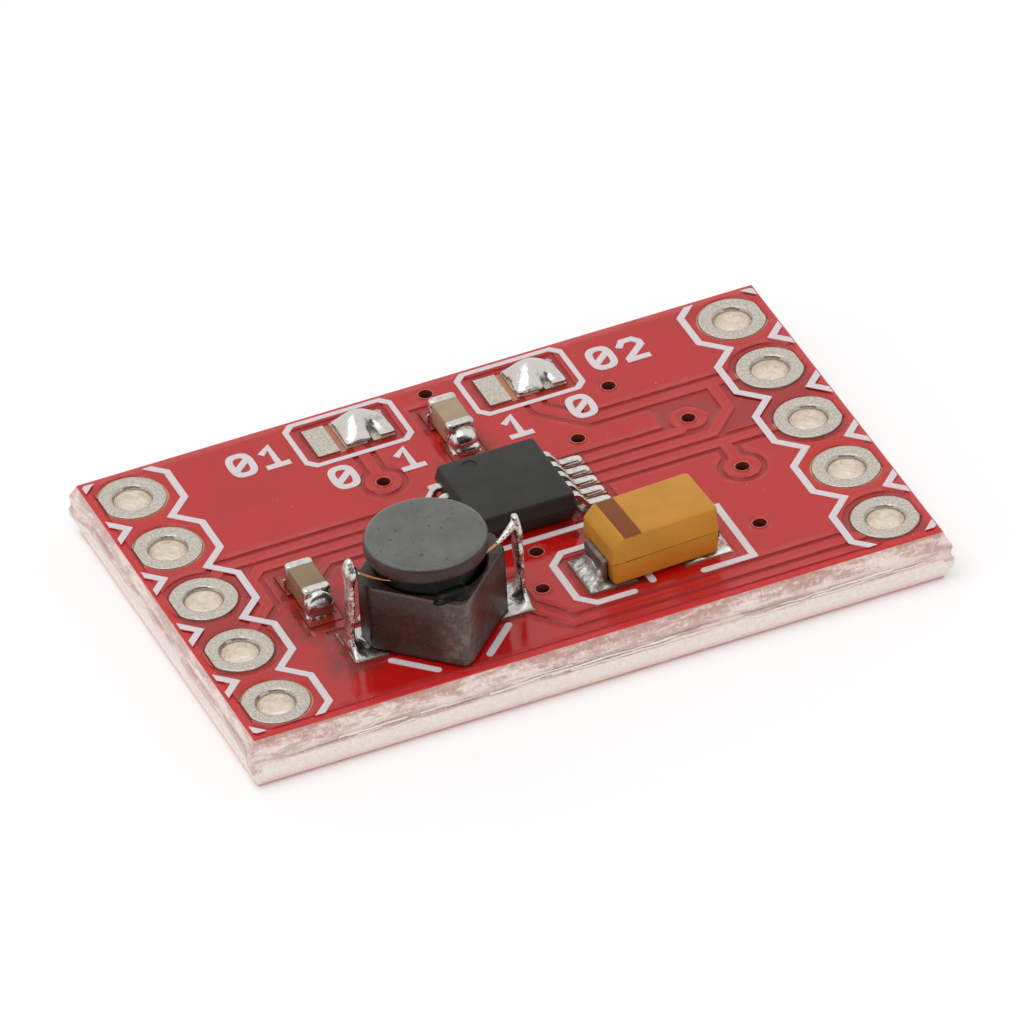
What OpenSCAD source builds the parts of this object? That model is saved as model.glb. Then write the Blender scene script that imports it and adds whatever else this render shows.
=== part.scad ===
// Energy harvesting power module: a small circuit board with header holes along both short sides.
// Millimetres. +X runs along the long side, +Y to the back and +Z up.
// The origin is the middle of the underside. Header holes and leads count from the back.

/* [Board] */
// Thickness over both solder masks
board_t = 1.6; // [1:0.1:2.4]
// Thickness of the web between the scores, which is snapped
web_t = 0.6; // [0.2:0.1:0.8]
// Set-back of the top and bottom faces from the snapped edges
score_inset = 0.25; // [0.05:0.05:0.35]

/* [Layers] */
// Thickness of the copper on each side
copper_t = 0.035; // [0.02:0.005:0.07]
// Thickness of the solder mask over copper
mask_t = 0.025; // [0.015:0.005:0.04]
// Thickness of the tin on the part pads
tin_t = 0.03; // [0.01:0.005:0.05]
// Wall of the plating in holes and vias
plating_t = 0.025; // [0.015:0.005:0.05]
// Distance of the copper from the edges of the top and bottom faces
copper_setback = 0.25; // [0.1:0.05:0.4]
// Width of the bare gap between a pad and the solder mask
mask_margin = 0.05; // [0.05:0.01:0.12]
// Distance of a mask groove from the copper beside it
groove_margin = 0.04; // [0.02:0.01:0.06]

/* [Printed ink] */
// Thickness of the ink
ink_t = 0.02; // [0.01:0.005:0.04]
// Width of the printed lines
ink_w = 0.2; // [0.12:0.02:0.3]
// Width of the printed lines around the solder jumpers
jumper_ink_w = 0.15; // [0.1:0.01:0.2]
// Distance of the ink from the short edges
ink_edge_x = 0.04; // [0.02:0.02:0.3]
// Distance of the ink from the long edges
ink_edge_y = 0.16; // [0.02:0.02:0.3]

/* [Header holes] */
// Distance between neighbouring holes, and the grid that the parts stand on
pin_pitch = 2.54; // [2.3:0.02:2.9]
// Distance between the two rows
row_spacing = 17.78; // [16.8:0.02:20]
// Distance from a row's middle to the snapped short edge
row_edge = 1.36; // [1.3:0.02:2]
// Distance from an end hole's middle to the snapped long edge
end_edge = 1.47; // [1.42:0.01:2.4]
// Finished diameter of a hole
hole_d = 1.016; // [0.8:0.002:1.2]
// Diameter of the ring around a hole
ring_d = 1.9; // [1.6:0.02:2]
// Chamfer of the plated rim
rim_c = 0.05; // [0.02:0.01:0.06]

/* [Tracks and vias] */
// Width of a track
track_w = 0.26; // [0.16:0.02:0.3]
// Gap between a track and the copper pour
track_gap = 0.25; // [0.15:0.05:0.3]
// Diameter of a via's hole
via_d = 0.45; // [0.3:0.05:0.6]
// Diameter of a via's pad
via_pad_d = 0.95; // [0.8:0.05:1.1]

/* [Chip] */
// Place of the chip along X
chip_x = 0; // [-0.3:0.05:0.3]
// Place of the chip along Y
chip_y = 0.03; // [-0.1:0.01:0.1]
// Side of the square body
chip_side = 3; // [2.8:0.1:3.2]
// Height of the body
chip_h = 0.82; // [0.7:0.02:1]
// Air under the body
chip_lift = 0.1; // [0.05:0.05:0.2]
// Lean of the body's sides, from the leads to the top or the bottom
chip_draft = 0.08; // [0.02:0.02:0.14]
// Distance between neighbouring leads
lead_pitch = 0.5; // [0.46:0.01:0.54]
// Width of a lead
lead_w = 0.22; // [0.16:0.02:0.28]
// Thickness of a lead
lead_t = 0.15; // [0.1:0.01:0.2]
// Span over the toes of both lead rows
lead_span = 4.9; // [4.7:0.1:5.1]
// Length of a lead's foot
lead_foot = 0.5; // [0.4:0.05:0.6]
// Depth of a lead's root in the body
lead_root = 0.25; // [0.1:0.05:0.4]
// Length of a chip pad
chip_pad_l = 0.95; // [0.85:0.05:1.1]
// Length of a chip pad beyond the lead's toe
chip_pad_toe = 0.2; // [0.1:0.05:0.3]
// Width of a chip pad
chip_pad_w = 0.3; // [0.28:0.01:0.34]

/* [Coil] */
// Place of the coil along X
coil_x = -3.75; // [-4.2:0.05:-3.6]
// Height of the drum core over the pads
coil_h = 3; // [2.8:0.1:3.6]
// Diameter of the round top flange
flange_d = 3.4; // [3.2:0.1:3.6]
// Thickness of the top flange
flange_t = 0.56; // [0.4:0.02:0.7]
// Round of the top flange's edges
flange_r = 0.1; // [0.05:0.01:0.18]
// Thickness of the lower flange
base_flange_t = 0.45; // [0.3:0.05:0.6]
// Diameter of the post that carries the winding
post_d = 1.4; // [1:0.1:1.8]
// Side of the square shield
shield_side = 3.4; // [3.3:0.02:3.5]
// Height of the shield
shield_h = 2; // [1.8:0.02:2.2]
// Diameter of the shield's bore
shield_bore_d = 3; // [2.9:0.02:3.04]
// Room between the lower flange and the bore
drum_clear = 0.14; // [0.12:0.01:0.2]
// Shift of the drum core in the shield, along X
drum_slip_x = -0.08; // [-0.08:0.01:0.08]
// Shift of the drum core in the shield, along Y
drum_slip_y = 0.03; // [-0.05:0.01:0.05]
// Distance of the shield's cut corners from its middle
corner_x = 2; // [1.95:0.01:2.05]
// Diameter of the winding's wire
wire_d = 0.11; // [0.08:0.01:0.14]
// Outer diameter of the winding
winding_d = 2.5; // [2.2:0.1:2.6]
// Width of a terminal
terminal_w = 0.56; // [0.4:0.02:0.8]
// Thickness of a terminal
terminal_t = 0.16; // [0.12:0.02:0.2]
// Height of a terminal's tip over its pad
terminal_h = 2.9; // [2.7:0.05:3.1]
// Height of a terminal's pointed end
terminal_tip = 0.45; // [0.2:0.05:0.6]
// Reach of the glue from the drum's middle, over the shield
glue_r = 1.9; // [1.75:0.05:1.95]
// Width of a bead of glue
glue_w = 0.9; // [0.6:0.1:1]
// Gap between a terminal and the shield's cut corner
terminal_gap = 0.34; // [0.25:0.01:0.4]
// Thickness of a terminal's foot under the shield
terminal_foot_t = 0.06; // [0.04:0.01:0.12]
// Length of a coil pad
coil_pad_l = 0.95; // [0.8:0.05:1.2]
// Width of a coil pad
coil_pad_w = 1.42; // [1.2:0.02:1.6]
// Length of a coil pad past the terminal, where its solder lies
coil_pad_toe = 0.08; // [0.06:0.01:0.16]

/* [Tantalum capacitor] */
// Shift of the case on its pads, along X
tantalum_slip_x = 0.1; // [-0.1:0.05:0.15]
// Shift of the case on its pads, along Y
tantalum_slip_y = 0.06; // [-0.1:0.02:0.1]
// Turn of the case on its pads
tantalum_yaw = 2.5; // [-3:0.5:4]
// Length of the case
case_l = 3.2; // [3:0.05:3.4]
// Depth of the case
case_w = 1.9; // [1.7:0.02:2.1]
// Height of the case
case_h = 1.48; // [1.2:0.02:1.6]
// Height of the parting line over the pads
case_parting = 0.82; // [0.6:0.02:1]
// Lean of the case's sides, from the parting line to the top or the bottom
case_draft = 0.03; // [0.02:0.01:0.12]
// Bevel along the top of the marked end
case_bevel = 0.34; // [0.1:0.02:0.5]
// Width of a lead strip
strip_w = 1.2; // [0.9:0.05:1.4]
// Thickness of a lead strip
strip_t = 0.12; // [0.08:0.01:0.16]
// Length of a strip's foot under the case
strip_foot = 0.8; // [0.5:0.05:1.1]
// Length of a tantalum pad
tantalum_pad_l = 1.38; // [1.2:0.02:1.5]
// Width of a tantalum pad
tantalum_pad_w = 1.58; // [1.4:0.02:1.8]
// Distance between the middles of the tantalum pads
tantalum_pad_span = 2.76; // [2.7:0.02:2.9]

/* [Ceramic capacitors] */
// Length of a ceramic capacitor
ceramic_l = 1.5; // [1.4:0.05:1.6]
// Width and height of a ceramic capacitor
ceramic_w = 0.8; // [0.7:0.05:0.9]
// Width of its metal ends
ceramic_end = 0.3; // [0.2:0.01:0.45]
// Thickness of the metal on its ends
ceramic_skin = 0.03; // [0.02:0.01:0.05]
// Chamfer of its edges
ceramic_c = 0.06; // [0.02:0.01:0.1]
// Length of a ceramic capacitor's pad
ceramic_pad_l = 0.9; // [0.7:0.05:0.95]
// Width of a ceramic capacitor's pad
ceramic_pad_w = 0.95; // [0.8:0.05:1.1]
// Distance between the middles of its pads
ceramic_pad_span = 1.6; // [1.4:0.05:1.7]

/* [Solder jumpers] */
// Length of a jumper pad, along X
jumper_pad_l = 0.635; // [0.5:0.005:0.7]
// Width of a jumper pad, along Y
jumper_pad_w = 1.27; // [1:0.01:1.3]
// Distance between neighbouring jumper pads
jumper_pitch = 0.813; // [0.75:0.001:0.85]
// Height of a solder bridge
bridge_h = 0.42; // [0.2:0.02:0.6]
// Radius of the arch under a bridge's front
arch_r = 0.16; // [0.05:0.01:0.2]

/* [Solder joints] */
// Height of the solder at a chip lead's toe
toe_solder_h = 0.13; // [0.05:0.01:0.15]
// Height of the solder at a coil terminal
coil_solder_h = 0.55; // [0.2:0.05:0.9]
// Height of the solder at a tantalum lead strip
tantalum_solder_h = 0.5; // [0.2:0.05:0.7]
// Height of the solder at a ceramic capacitor's end
ceramic_solder_h = 0.5; // [0.2:0.05:0.7]

/* [Hidden] */
$fn = 48;
PINS = [1, 2, 3, 4, 5];
SIDES = [-1, 1];
middle_pin = (len(PINS) + 1) / 2;

// Board around the header holes
half_row = row_spacing / 2;
board_l = row_spacing + 2 * row_edge;
board_w = (len(PINS) - 1) * pin_pitch + 2 * end_edge;
function grid(x, y) = pin_pitch * [x, y];

// Heights of the layers
core_bottom = mask_t + copper_t;
copper_top = board_t - mask_t;
core_top = copper_top - copper_t;
pad_top = copper_top + tin_t;

// Half sizes of the flat faces and of the copper on them
face_x = board_l / 2 - score_inset;
face_y = board_w / 2 - score_inset;
copper_x = face_x - copper_setback;
copper_y = face_y - copper_setback;
pour_cut = 0.35;

// A little more than a whole cut, so that cutters pass through
past = 1;
hole_r = hole_d / 2;
drill_r = hole_r + plating_t;
ring_r = ring_d / 2;
via_r = via_d / 2;
via_drill_r = via_r + plating_t;
groove_gap = track_gap - groove_margin;

// Chip and its leads
chip_mid = chip_lift + chip_h / 2;
chip_top = chip_lift + chip_h;
chip_pad_x = lead_span / 2 + chip_pad_toe - chip_pad_l / 2;

// Coil heights over the pads
flange_z = coil_h - flange_t;
drum_r = shield_bore_d / 2 - drum_clear;
terminal_in = corner_x + terminal_gap;
terminal_out = terminal_in + terminal_t;
coil_pad_x = terminal_out + coil_pad_toe - coil_pad_l / 2;
winding_z = terminal_foot_t + base_flange_t;
turns = floor((flange_z - winding_z) / wire_d);
wire_rise = 0.1;
wire_start = [terminal_in, 0, flange_z + wire_rise];
wire_angle = -32;
wire_end_z = flange_z - 2 * wire_d;

// Places of the parts
COIL = [coil_x, grid(0, -1.5)[1]];
TANTALUM = grid(1, -1.5);
BACK_CERAMIC = grid(0, 1.5);
LEFT_CERAMIC = [pin_pitch - half_row, -pin_pitch / 2];
JUMPER = grid(1, 2);

// Distance of a capacitor strip's outer face from the middle of the case
strip_gap = 0.02;
strip_mid = case_l / 2 + strip_gap + strip_t / 2;
strip_out = strip_mid + strip_t / 2;
strip_root = 0.3;

// Printed outlines beside the parts
chip_line_gap = 0.22;
coil_tick_gap = 0.24;
coil_tick_span = [0.75, 1.7];
tantalum_line = [2.5, 1.23];
tantalum_line_cut = 0.42;
tantalum_line_ends = [1, 1.05];
tantalum_tick = [-0.36, 1];
jumper_line = [1.54, 1.0];
jumper_line_cut = 0.22;

// Holes and vias
function pin_at(side, i) = [side * half_row, (middle_pin - i) * pin_pitch];
ALL_PINS = [for (side = SIDES, i = PINS) pin_at(side, i)];
SIGNAL_PINS = [pin_at(-1, 3), pin_at(-1, 4), pin_at(1, 2), pin_at(1, 3), pin_at(1, 5)];
jumper_via = grid(-1, 1.024);
chip_via = grid(2.354, 0.571);
front_via = grid(2.516, -0.488);
SIGNAL_VIAS = [jumper_via, chip_via, front_via];
GROUND_VIAS = [grid(0.012, 2.264), grid(1.823, 1.496), grid(1.154, 0.776),
    grid(2.272, -1.488), grid(-0.039, -0.866), grid(-0.236, -1.488)];
ALL_VIAS = concat(SIGNAL_VIAS, GROUND_VIAS);

// Part pads as [x, y, length along X, length along Y]
function chip_pin(side, i) = [chip_x + side * chip_pad_x, chip_y + (middle_pin - i) * lead_pitch];
function rect_pad(at, l, w) = [at[0], at[1], l, w];
CHIP_PADS = [for (side = SIDES, i = PINS) rect_pad(chip_pin(side, i), chip_pad_l, chip_pad_w)];
COIL_PADS = [for (side = SIDES)
    rect_pad([COIL[0] + side * coil_pad_x, COIL[1]], coil_pad_l, coil_pad_w)];
TANTALUM_PADS = [for (side = SIDES)
    rect_pad([TANTALUM[0] + side * tantalum_pad_span / 2, TANTALUM[1]], tantalum_pad_l, tantalum_pad_w)];
function ceramic_pad(at, side) =
    rect_pad([at[0], at[1] + side * ceramic_pad_span / 2], ceramic_pad_w, ceramic_pad_l);
function ceramic_pads(at) = [for (side = SIDES) ceramic_pad(at, side)];
function jumper_pad(jumper, k) =
    rect_pad([jumper * JUMPER[0] + k * jumper_pitch, JUMPER[1]], jumper_pad_l, jumper_pad_w);
function jumper_pads(jumper) = [for (k = [-1 : 1]) jumper_pad(jumper, k)];
JUMPER_PADS = [for (jumper = SIDES) each jumper_pads(jumper)];
CERAMIC_PADS = concat(ceramic_pads(BACK_CERAMIC), ceramic_pads(LEFT_CERAMIC));
SIGNAL_PADS = concat(CHIP_PADS, COIL_PADS, JUMPER_PADS, [TANTALUM_PADS[0]],
    [ceramic_pad(BACK_CERAMIC, 1), ceramic_pad(LEFT_CERAMIC, 1)]);

// Openings of the solder mask, where pads that stand close share one
CHIP_OPENINGS = [for (side = SIDES)
    rect_pad(chip_pin(side, middle_pin), chip_pad_l, 4 * lead_pitch + chip_pad_w)];
JUMPER_OPENINGS = [for (jumper = SIDES)
    rect_pad([jumper * JUMPER[0], JUMPER[1]], 2 * jumper_pitch + jumper_pad_l, jumper_pad_w)];
OPENINGS = concat(CHIP_OPENINGS, JUMPER_OPENINGS, COIL_PADS, TANTALUM_PADS, CERAMIC_PADS);

// Tracks as lists of points on the header grid, from one pad or via to another
function xy(pad) = [pad[0], pad[1]];
function beside(p, x) = [x, p[1]];
function in_from_left(x, y) = [-half_row, 0] + grid(x, y);
function in_from_right(x, y) = [half_row, 0] + grid(-x, y);
left_column = in_from_left(0.562, -0.413);
right_column = in_from_right(0.685, 0.551);
back_row = grid(1.417, 1.035);
front_row = grid(-0.157, -2.165);
LEFT_TRACKS = [
    [chip_pin(-1, 1), beside(chip_pin(-1, 1), in_from_left(0.35, 0)[0]), pin_at(-1, 3)],
    [chip_pin(-1, 2), beside(chip_pin(-1, 2), in_from_left(0.72, 0)[0]),
        [left_column[0], chip_pin(-1, 1)[1] - lead_pitch * 1.8], left_column, pin_at(-1, 4)],
    [chip_pin(-1, 3), beside(chip_pin(-1, 3), in_from_left(1.413, 0)[0]), in_from_left(1.197, -0.197),
        xy(ceramic_pad(LEFT_CERAMIC, 1))]];
RIGHT_TRACKS = [
    [chip_pin(1, 1), beside(chip_pin(1, 1), chip_via[0] + chip_pin(1, 1)[1] - chip_via[1]), chip_via],
    [chip_pin(1, 2), beside(chip_pin(1, 2), in_from_right(1.02, 0)[0]), right_column,
        beside(back_row, right_column[0])],
    [chip_pin(1, 3), beside(chip_pin(1, 3), in_from_right(0.508, 0)[0]), pin_at(1, 3)],
    [beside(chip_pin(1, 3), front_via[0]), front_via]];
JUMPER_TRACKS = [
    [xy(jumper_pad(-1, 0)), jumper_via],
    [xy(jumper_pad(1, 0)), grid(1, 1.465), back_row, beside(back_row, in_from_right(0.39, 0)[0]),
        pin_at(1, 2)]];
FRONT_TRACK = [xy(COIL_PADS[1]), front_row, beside(front_row, in_from_right(0.232, 0)[0]), pin_at(1, 5)];
TRACKS = concat(LEFT_TRACKS, RIGHT_TRACKS, JUMPER_TRACKS, [FRONT_TRACK]);

// Places between tracks that hold no copper
function patch(at, size) = rect_pad(at, size[0], size[1]);
BARE_PATCHES = [
    patch(in_from_right(0.547, 0.559), grid(1.654, 0.61)),
    patch(in_from_left(0.075, -0.433), grid(0.709, 0.354)),
    patch(in_from_left(0.469, 0.217), grid(0.118, 0.039))];

// Points of a line's sides, mitred at its bends
function unit(v) = v / norm(v);
function normal(a, b) = let (d = unit(b - a)) [-d[1], d[0]];
function mitre(p, i, h) =
    let (before = normal(p[max(i, 1) - 1], p[max(i, 1)]))
    let (last = len(p) - 2)
    let (after = normal(p[min(i, last)], p[min(i, last) + 1]))
    p[i] + (before + after) * h / (1 + before * after);
function side_points(p, h) = [for (i = [0 : len(p) - 1]) mitre(p, i, h)];
function reversed(p) = [for (i = [len(p) - 1 : -1 : 0]) p[i]];
function cap_points(from, to, h) =
    let (a = atan2(to[1] - from[1], to[0] - from[0]))
    [for (turn = [60 : -30 : -60]) to + h * [cos(a + turn), sin(a + turn)]];
// Points of a round fillet's hollow face, from the wall down to the pad
function fillet_points(reach, h) =
    [for (a = [0 : 15 : 90]) [reach * (1 - cos(a)), h * (1 - sin(a))]];

// A line of constant width with square ends
module stroke(p, w) {
    polygon(concat(side_points(p, w / 2), reversed(side_points(p, -w / 2))));
}

// A line of constant width with round ends
module round_stroke(p, w) {
    last = len(p) - 1;
    polygon(concat(
        side_points(p, w / 2),
        cap_points(p[last - 1], p[last], w / 2),
        reversed(side_points(p, -w / 2)),
        cap_points(p[1], p[0], w / 2)));
}

module discs(places, r) {
    for (at = places) translate(at) circle(r);
}

module rects(pads, grow) {
    for (p = pads) translate(xy(p)) square([p[2] + 2 * grow, p[3] + 2 * grow], center = true);
}

module posts(places, r) {
    for (at = places) translate([at[0], at[1], -past]) cylinder(h = board_t + 2 * past, r = r);
}

// A flat figure standing on the XZ plane, with its thickness centred on Y
module standing(w) {
    rotate([90, 0, 0]) linear_extrude(w, center = true) children();
}

// A flat figure standing on the YZ plane, with its thickness centred on X
module standing_across(w) {
    rotate([90, 0, 90]) linear_extrude(w, center = true) children();
}

module mirrored(side) {
    mirror([side < 0 ? 1 : 0, 0, 0]) children();
}

// Outline of the scored and snapped edges, across the board
module edge_profile(span) {
    score = (board_t - web_t) / 2;
    half = span / 2;
    polygon([
        [half - score_inset, 0], [half, score], [half, board_t - score], [half - score_inset, board_t],
        [score_inset - half, board_t], [-half, board_t - score], [-half, score], [score_inset - half, 0]]);
}

module envelope() {
    intersection() {
        standing(board_w + past) edge_profile(board_l);
        standing_across(board_l + past) edge_profile(board_w);
    }
}

module layer(z0, z1) {
    intersection() {
        envelope();
        translate([-board_l, -board_w, z0]) cube([2 * board_l, 2 * board_w, z1 - z0]);
    }
}

// Tracks, pads and vias that stand apart from the pour, grown by a margin
module lines(h, grow) {
    for (t = TRACKS) linear_extrude(h) stroke(t, track_w + 2 * grow);
    for (p = SIGNAL_PADS) linear_extrude(h) rects([p], grow);
    linear_extrude(h) discs(SIGNAL_VIAS, via_pad_d / 2 + grow);
}

module gaps(h, gap) {
    lines(h, gap);
    linear_extrude(h) discs(SIGNAL_PINS, ring_r + gap);
    for (p = BARE_PATCHES) linear_extrude(h) rects([p], gap);
}

module pour(h) {
    linear_extrude(h) cut_rect(copper_x, copper_y, pour_cut);
}

// Strip along the board's edges that holds no copper
module border(h) {
    linear_extrude(h) difference() {
        square([2 * board_l, 2 * board_w], center = true);
        cut_rect(copper_x + groove_margin, copper_y + groove_margin, pour_cut);
    }
}

module substrate() {
    color([0.87, 0.8, 0.76])
    difference() {
        layer(core_bottom, core_top);
        posts(ALL_PINS, drill_r);
        posts(ALL_VIAS, via_drill_r);
    }
}

module top_copper() {
    color([0.8, 0.5, 0.36])
    difference() {
        translate([0, 0, core_top]) {
            difference() {
                pour(copper_t);
                translate([0, 0, -past]) gaps(copper_t + 2 * past, track_gap);
            }
            lines(copper_t, 0);
        }
        posts(ALL_PINS, ring_r);
        posts(ALL_VIAS, via_drill_r);
    }
}

module bottom_copper() {
    color([0.8, 0.5, 0.36])
    difference() {
        translate([0, 0, mask_t]) pour(copper_t);
        posts(ALL_PINS, ring_r);
        posts(SIGNAL_PINS, ring_r + track_gap);
        posts(ALL_VIAS, via_drill_r);
    }
}

// Openings around the header holes, which stop beside the copper's edge
module ring_openings() {
    intersection() {
        posts(ALL_PINS, ring_r + mask_margin);
        cube([2 * (copper_x + mask_margin), 2 * board_w, 4 * board_t], center = true);
    }
}

module top_solder_mask() {
    color([0.7, 0.12, 0.12])
    difference() {
        layer(core_top, board_t);
        top_copper();
        for (p = OPENINGS) translate([0, 0, core_top - past]) linear_extrude(board_t) rects([p], mask_margin);
        ring_openings();
        posts(ALL_VIAS, via_drill_r);
        translate([0, 0, core_top + mask_t]) difference() {
            union() {
                gaps(past, groove_gap);
                border(past);
            }
            translate([0, 0, -past]) {
                lines(3 * past, groove_margin);
                linear_extrude(3 * past) discs(SIGNAL_PINS, ring_r + mask_margin);
            }
        }
    }
}

module bottom_solder_mask() {
    color([0.7, 0.12, 0.12])
    difference() {
        layer(0, core_bottom);
        bottom_copper();
        ring_openings();
        posts(ALL_VIAS, via_drill_r);
    }
}

// One side of the printed outline around a row of holes
function outline_points(side, toward) =
    let (notch = side * half_row + toward * pin_pitch / 4)
    let (flat = side * half_row + toward * pin_pitch / 2)
    concat(
        [for (i = PINS) let (y = pin_at(side, i)[1])
            each [[notch, y + pin_pitch / 2], [flat, y + pin_pitch / 4], [flat, y - pin_pitch / 4]]],
        [[notch, pin_at(side, 5)[1] - pin_pitch / 2]]);

module header_lines() {
    intersection() {
        square([2 * (face_x - ink_edge_x), 2 * (face_y - ink_edge_y)], center = true);
        for (side = SIDES, toward = SIDES) stroke(outline_points(side, toward), ink_w);
    }
}

module cut_rect(half_x, half_y, cut) {
    polygon([
        [half_x - cut, half_y], [cut - half_x, half_y], [-half_x, half_y - cut], [-half_x, cut - half_y],
        [cut - half_x, -half_y], [half_x - cut, -half_y], [half_x, cut - half_y], [half_x, half_y - cut]]);
}

module jumper_lines() {
    half = jumper_ink_w / 2;
    for (jumper = SIDES) translate([jumper * JUMPER[0], JUMPER[1]])
    difference() {
        cut_rect(jumper_line[0] + half, jumper_line[1] + half, jumper_line_cut + half / 2);
        cut_rect(jumper_line[0] - half, jumper_line[1] - half, jumper_line_cut);
    }
}

module chip_lines() {
    y = chip_side / 2 + chip_line_gap;
    for (side = SIDES) translate([chip_x, chip_y + side * y])
        round_stroke([[-chip_side / 2, 0], [chip_side / 2, 0]], ink_w);
}

module coil_lines() {
    reach = (shield_side / 2 + coil_tick_gap) * sqrt(2);
    for (side = SIDES, depth = SIDES) translate(COIL)
        round_stroke([for (x = coil_tick_span) [side * x, depth * (reach - x)]], ink_w);
}

module tantalum_lines() {
    x = tantalum_line[0];
    y = tantalum_line[1];
    translate(TANTALUM) {
        round_stroke([[-tantalum_line_ends[0], -y], [tantalum_line_cut - x, -y], [-x, tantalum_line_cut - y],
            [-x, y - tantalum_line_cut], [tantalum_line_cut - x, y], [-tantalum_line_ends[0], y]], ink_w);
        round_stroke([[tantalum_line_ends[1], -y], [x, -y], [x, y], [tantalum_line_ends[1], y]], ink_w);
        round_stroke([for (depth = SIDES) [tantalum_tick[0], depth * tantalum_tick[1]]], ink_w);
    }
}

module top_ink() {
    color([0.86, 0.83, 0.85])
    translate([0, 0, board_t]) linear_extrude(ink_t) {
        header_lines();
        jumper_lines();
        chip_lines();
        coil_lines();
        tantalum_lines();
    }
}

module via_barrels() {
    color([0.75, 0.45, 0.35])
    for (at = ALL_VIAS) translate([at[0], at[1], mask_t])
    difference() {
        cylinder(h = copper_top - mask_t, r = via_drill_r);
        translate([0, 0, -past]) cylinder(h = board_t + 2 * past, r = via_r);
    }
}

// A plated hole with its rings, cut back where the copper ends before the board's edge
module plated_hole(side, i) {
    at = pin_at(side, i);
    color([0.78, 0.76, 0.71])
    difference() {
        translate(at) rotate_extrude() polygon([
            [hole_r, rim_c], [hole_r + rim_c, 0], [ring_r, 0], [ring_r, core_bottom],
            [drill_r, core_bottom], [drill_r, core_top], [ring_r, core_top], [ring_r, pad_top - tin_t / 2],
            [ring_r - tin_t, pad_top], [hole_r + rim_c, pad_top], [hole_r, pad_top - rim_c]]);
        mirrored(side) translate([copper_x, -board_w, -past])
            cube([board_l, 2 * board_w, board_t + 2 * past]);
    }
}

module tinned(pads) {
    color([0.78, 0.76, 0.71])
    translate([0, 0, copper_top]) linear_extrude(tin_t) rects(pads, 0);
}

// Solder drawn over two neighbouring jumper pads, arched at the front
module jumper_bridge(jumper) {
    span = jumper_pitch + jumper_pad_l;
    long_r = (span * span / 4 + bridge_h * bridge_h) / (2 * bridge_h);
    deep_r = (jumper_pad_w * jumper_pad_w / 4 + bridge_h * bridge_h) / (2 * bridge_h);
    color([0.83, 0.83, 0.82])
    translate([jumper * JUMPER[0] + jumper_pitch / 2, JUMPER[1], pad_top])
    difference() {
        intersection() {
            translate([0, 0, bridge_h - long_r]) rotate([90, 0, 0])
                cylinder(h = 2 * jumper_pad_w, r = long_r, center = true);
            translate([0, 0, bridge_h - deep_r]) rotate([0, 90, 0])
                cylinder(h = 2 * span, r = deep_r, center = true);
            translate([-span, -jumper_pad_w, 0]) cube([2 * span, 2 * jumper_pad_w, 2 * bridge_h]);
        }
        translate([0, -jumper_pad_w, 0]) rotate([-90, 0, 0]) cylinder(h = jumper_pad_w, r = arch_r);
    }
}

// Outline of a moulded body with sides that lean from its parting line
module moulded_profile(half, z0, z1, z2, draft) {
    polygon([
        [half - draft, z0], [half, z1], [half - draft, z2],
        [draft - half, z2], [-half, z1], [draft - half, z0]]);
}

module at_chip() {
    translate([chip_x, chip_y, pad_top]) children();
}

module chip_lead(side, i) {
    root_x = chip_side / 2 - lead_root;
    shoulder_x = chip_side / 2 + lead_t;
    foot_z = lead_t / 2;
    color([0.8, 0.8, 0.8])
    at_chip() translate([0, (middle_pin - i) * lead_pitch, 0]) mirrored(side) standing(lead_w)
    stroke([[root_x, chip_mid], [shoulder_x, chip_mid], [lead_span / 2 - lead_foot, foot_z],
        [lead_span / 2, foot_z]], lead_t);
}

module chip_body() {
    half = chip_side / 2;
    dimple = [-0.62, 1.02];
    dimple_r = 0.22;
    dimple_h = 0.04;
    color([0.22, 0.21, 0.2])
    difference() {
        at_chip() difference() {
            intersection() {
                standing(chip_side + past) moulded_profile(half, chip_lift, chip_mid, chip_top, chip_draft);
                standing_across(chip_side + past)
                    moulded_profile(half, chip_lift, chip_mid, chip_top, chip_draft);
            }
            translate([dimple[0], dimple[1], chip_top - dimple_h]) cylinder(h = past, r = dimple_r);
        }
        for (side = SIDES, i = PINS) chip_lead(side, i);
    }
}

// Solder that rises in a hollow curve from a pad to a wall at x = wall
module fillet(wall, reach, h, w) {
    standing(w) translate([wall, 0]) polygon(concat([[0, 0]], fillet_points(reach, h)));
}

module chip_solder() {
    color([0.83, 0.83, 0.82])
    at_chip() for (side = SIDES, i = PINS) translate([0, (middle_pin - i) * lead_pitch, 0]) mirrored(side)
        fillet(lead_span / 2, chip_pad_toe, toe_solder_h, lead_w);
}

module at_coil() {
    translate([COIL[0], COIL[1], pad_top]) children();
}

// The drum core sits a little off the middle of its shield
module at_drum() {
    at_coil() translate([drum_slip_x, drum_slip_y, 0]) children();
}

// Points of a quarter round about a centre, between two angles
function arc_points(centre, r, from, to) =
    [for (k = [0 : 4]) let (a = from + (to - from) * k / 4) centre + r * [cos(a), sin(a)]];

module coil_drum() {
    round_x = flange_d / 2 - flange_r;
    color([0.3, 0.3, 0.29])
    at_drum() rotate_extrude() polygon(concat(
        [[0, terminal_foot_t], [drum_r, terminal_foot_t], [drum_r, winding_z], [post_d / 2, winding_z],
            [post_d / 2, flange_z]],
        arc_points([round_x, flange_z + flange_r], flange_r, -90, 0),
        arc_points([round_x, coil_h - flange_r], flange_r, 0, 90),
        [[0, coil_h]]));
}

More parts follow.
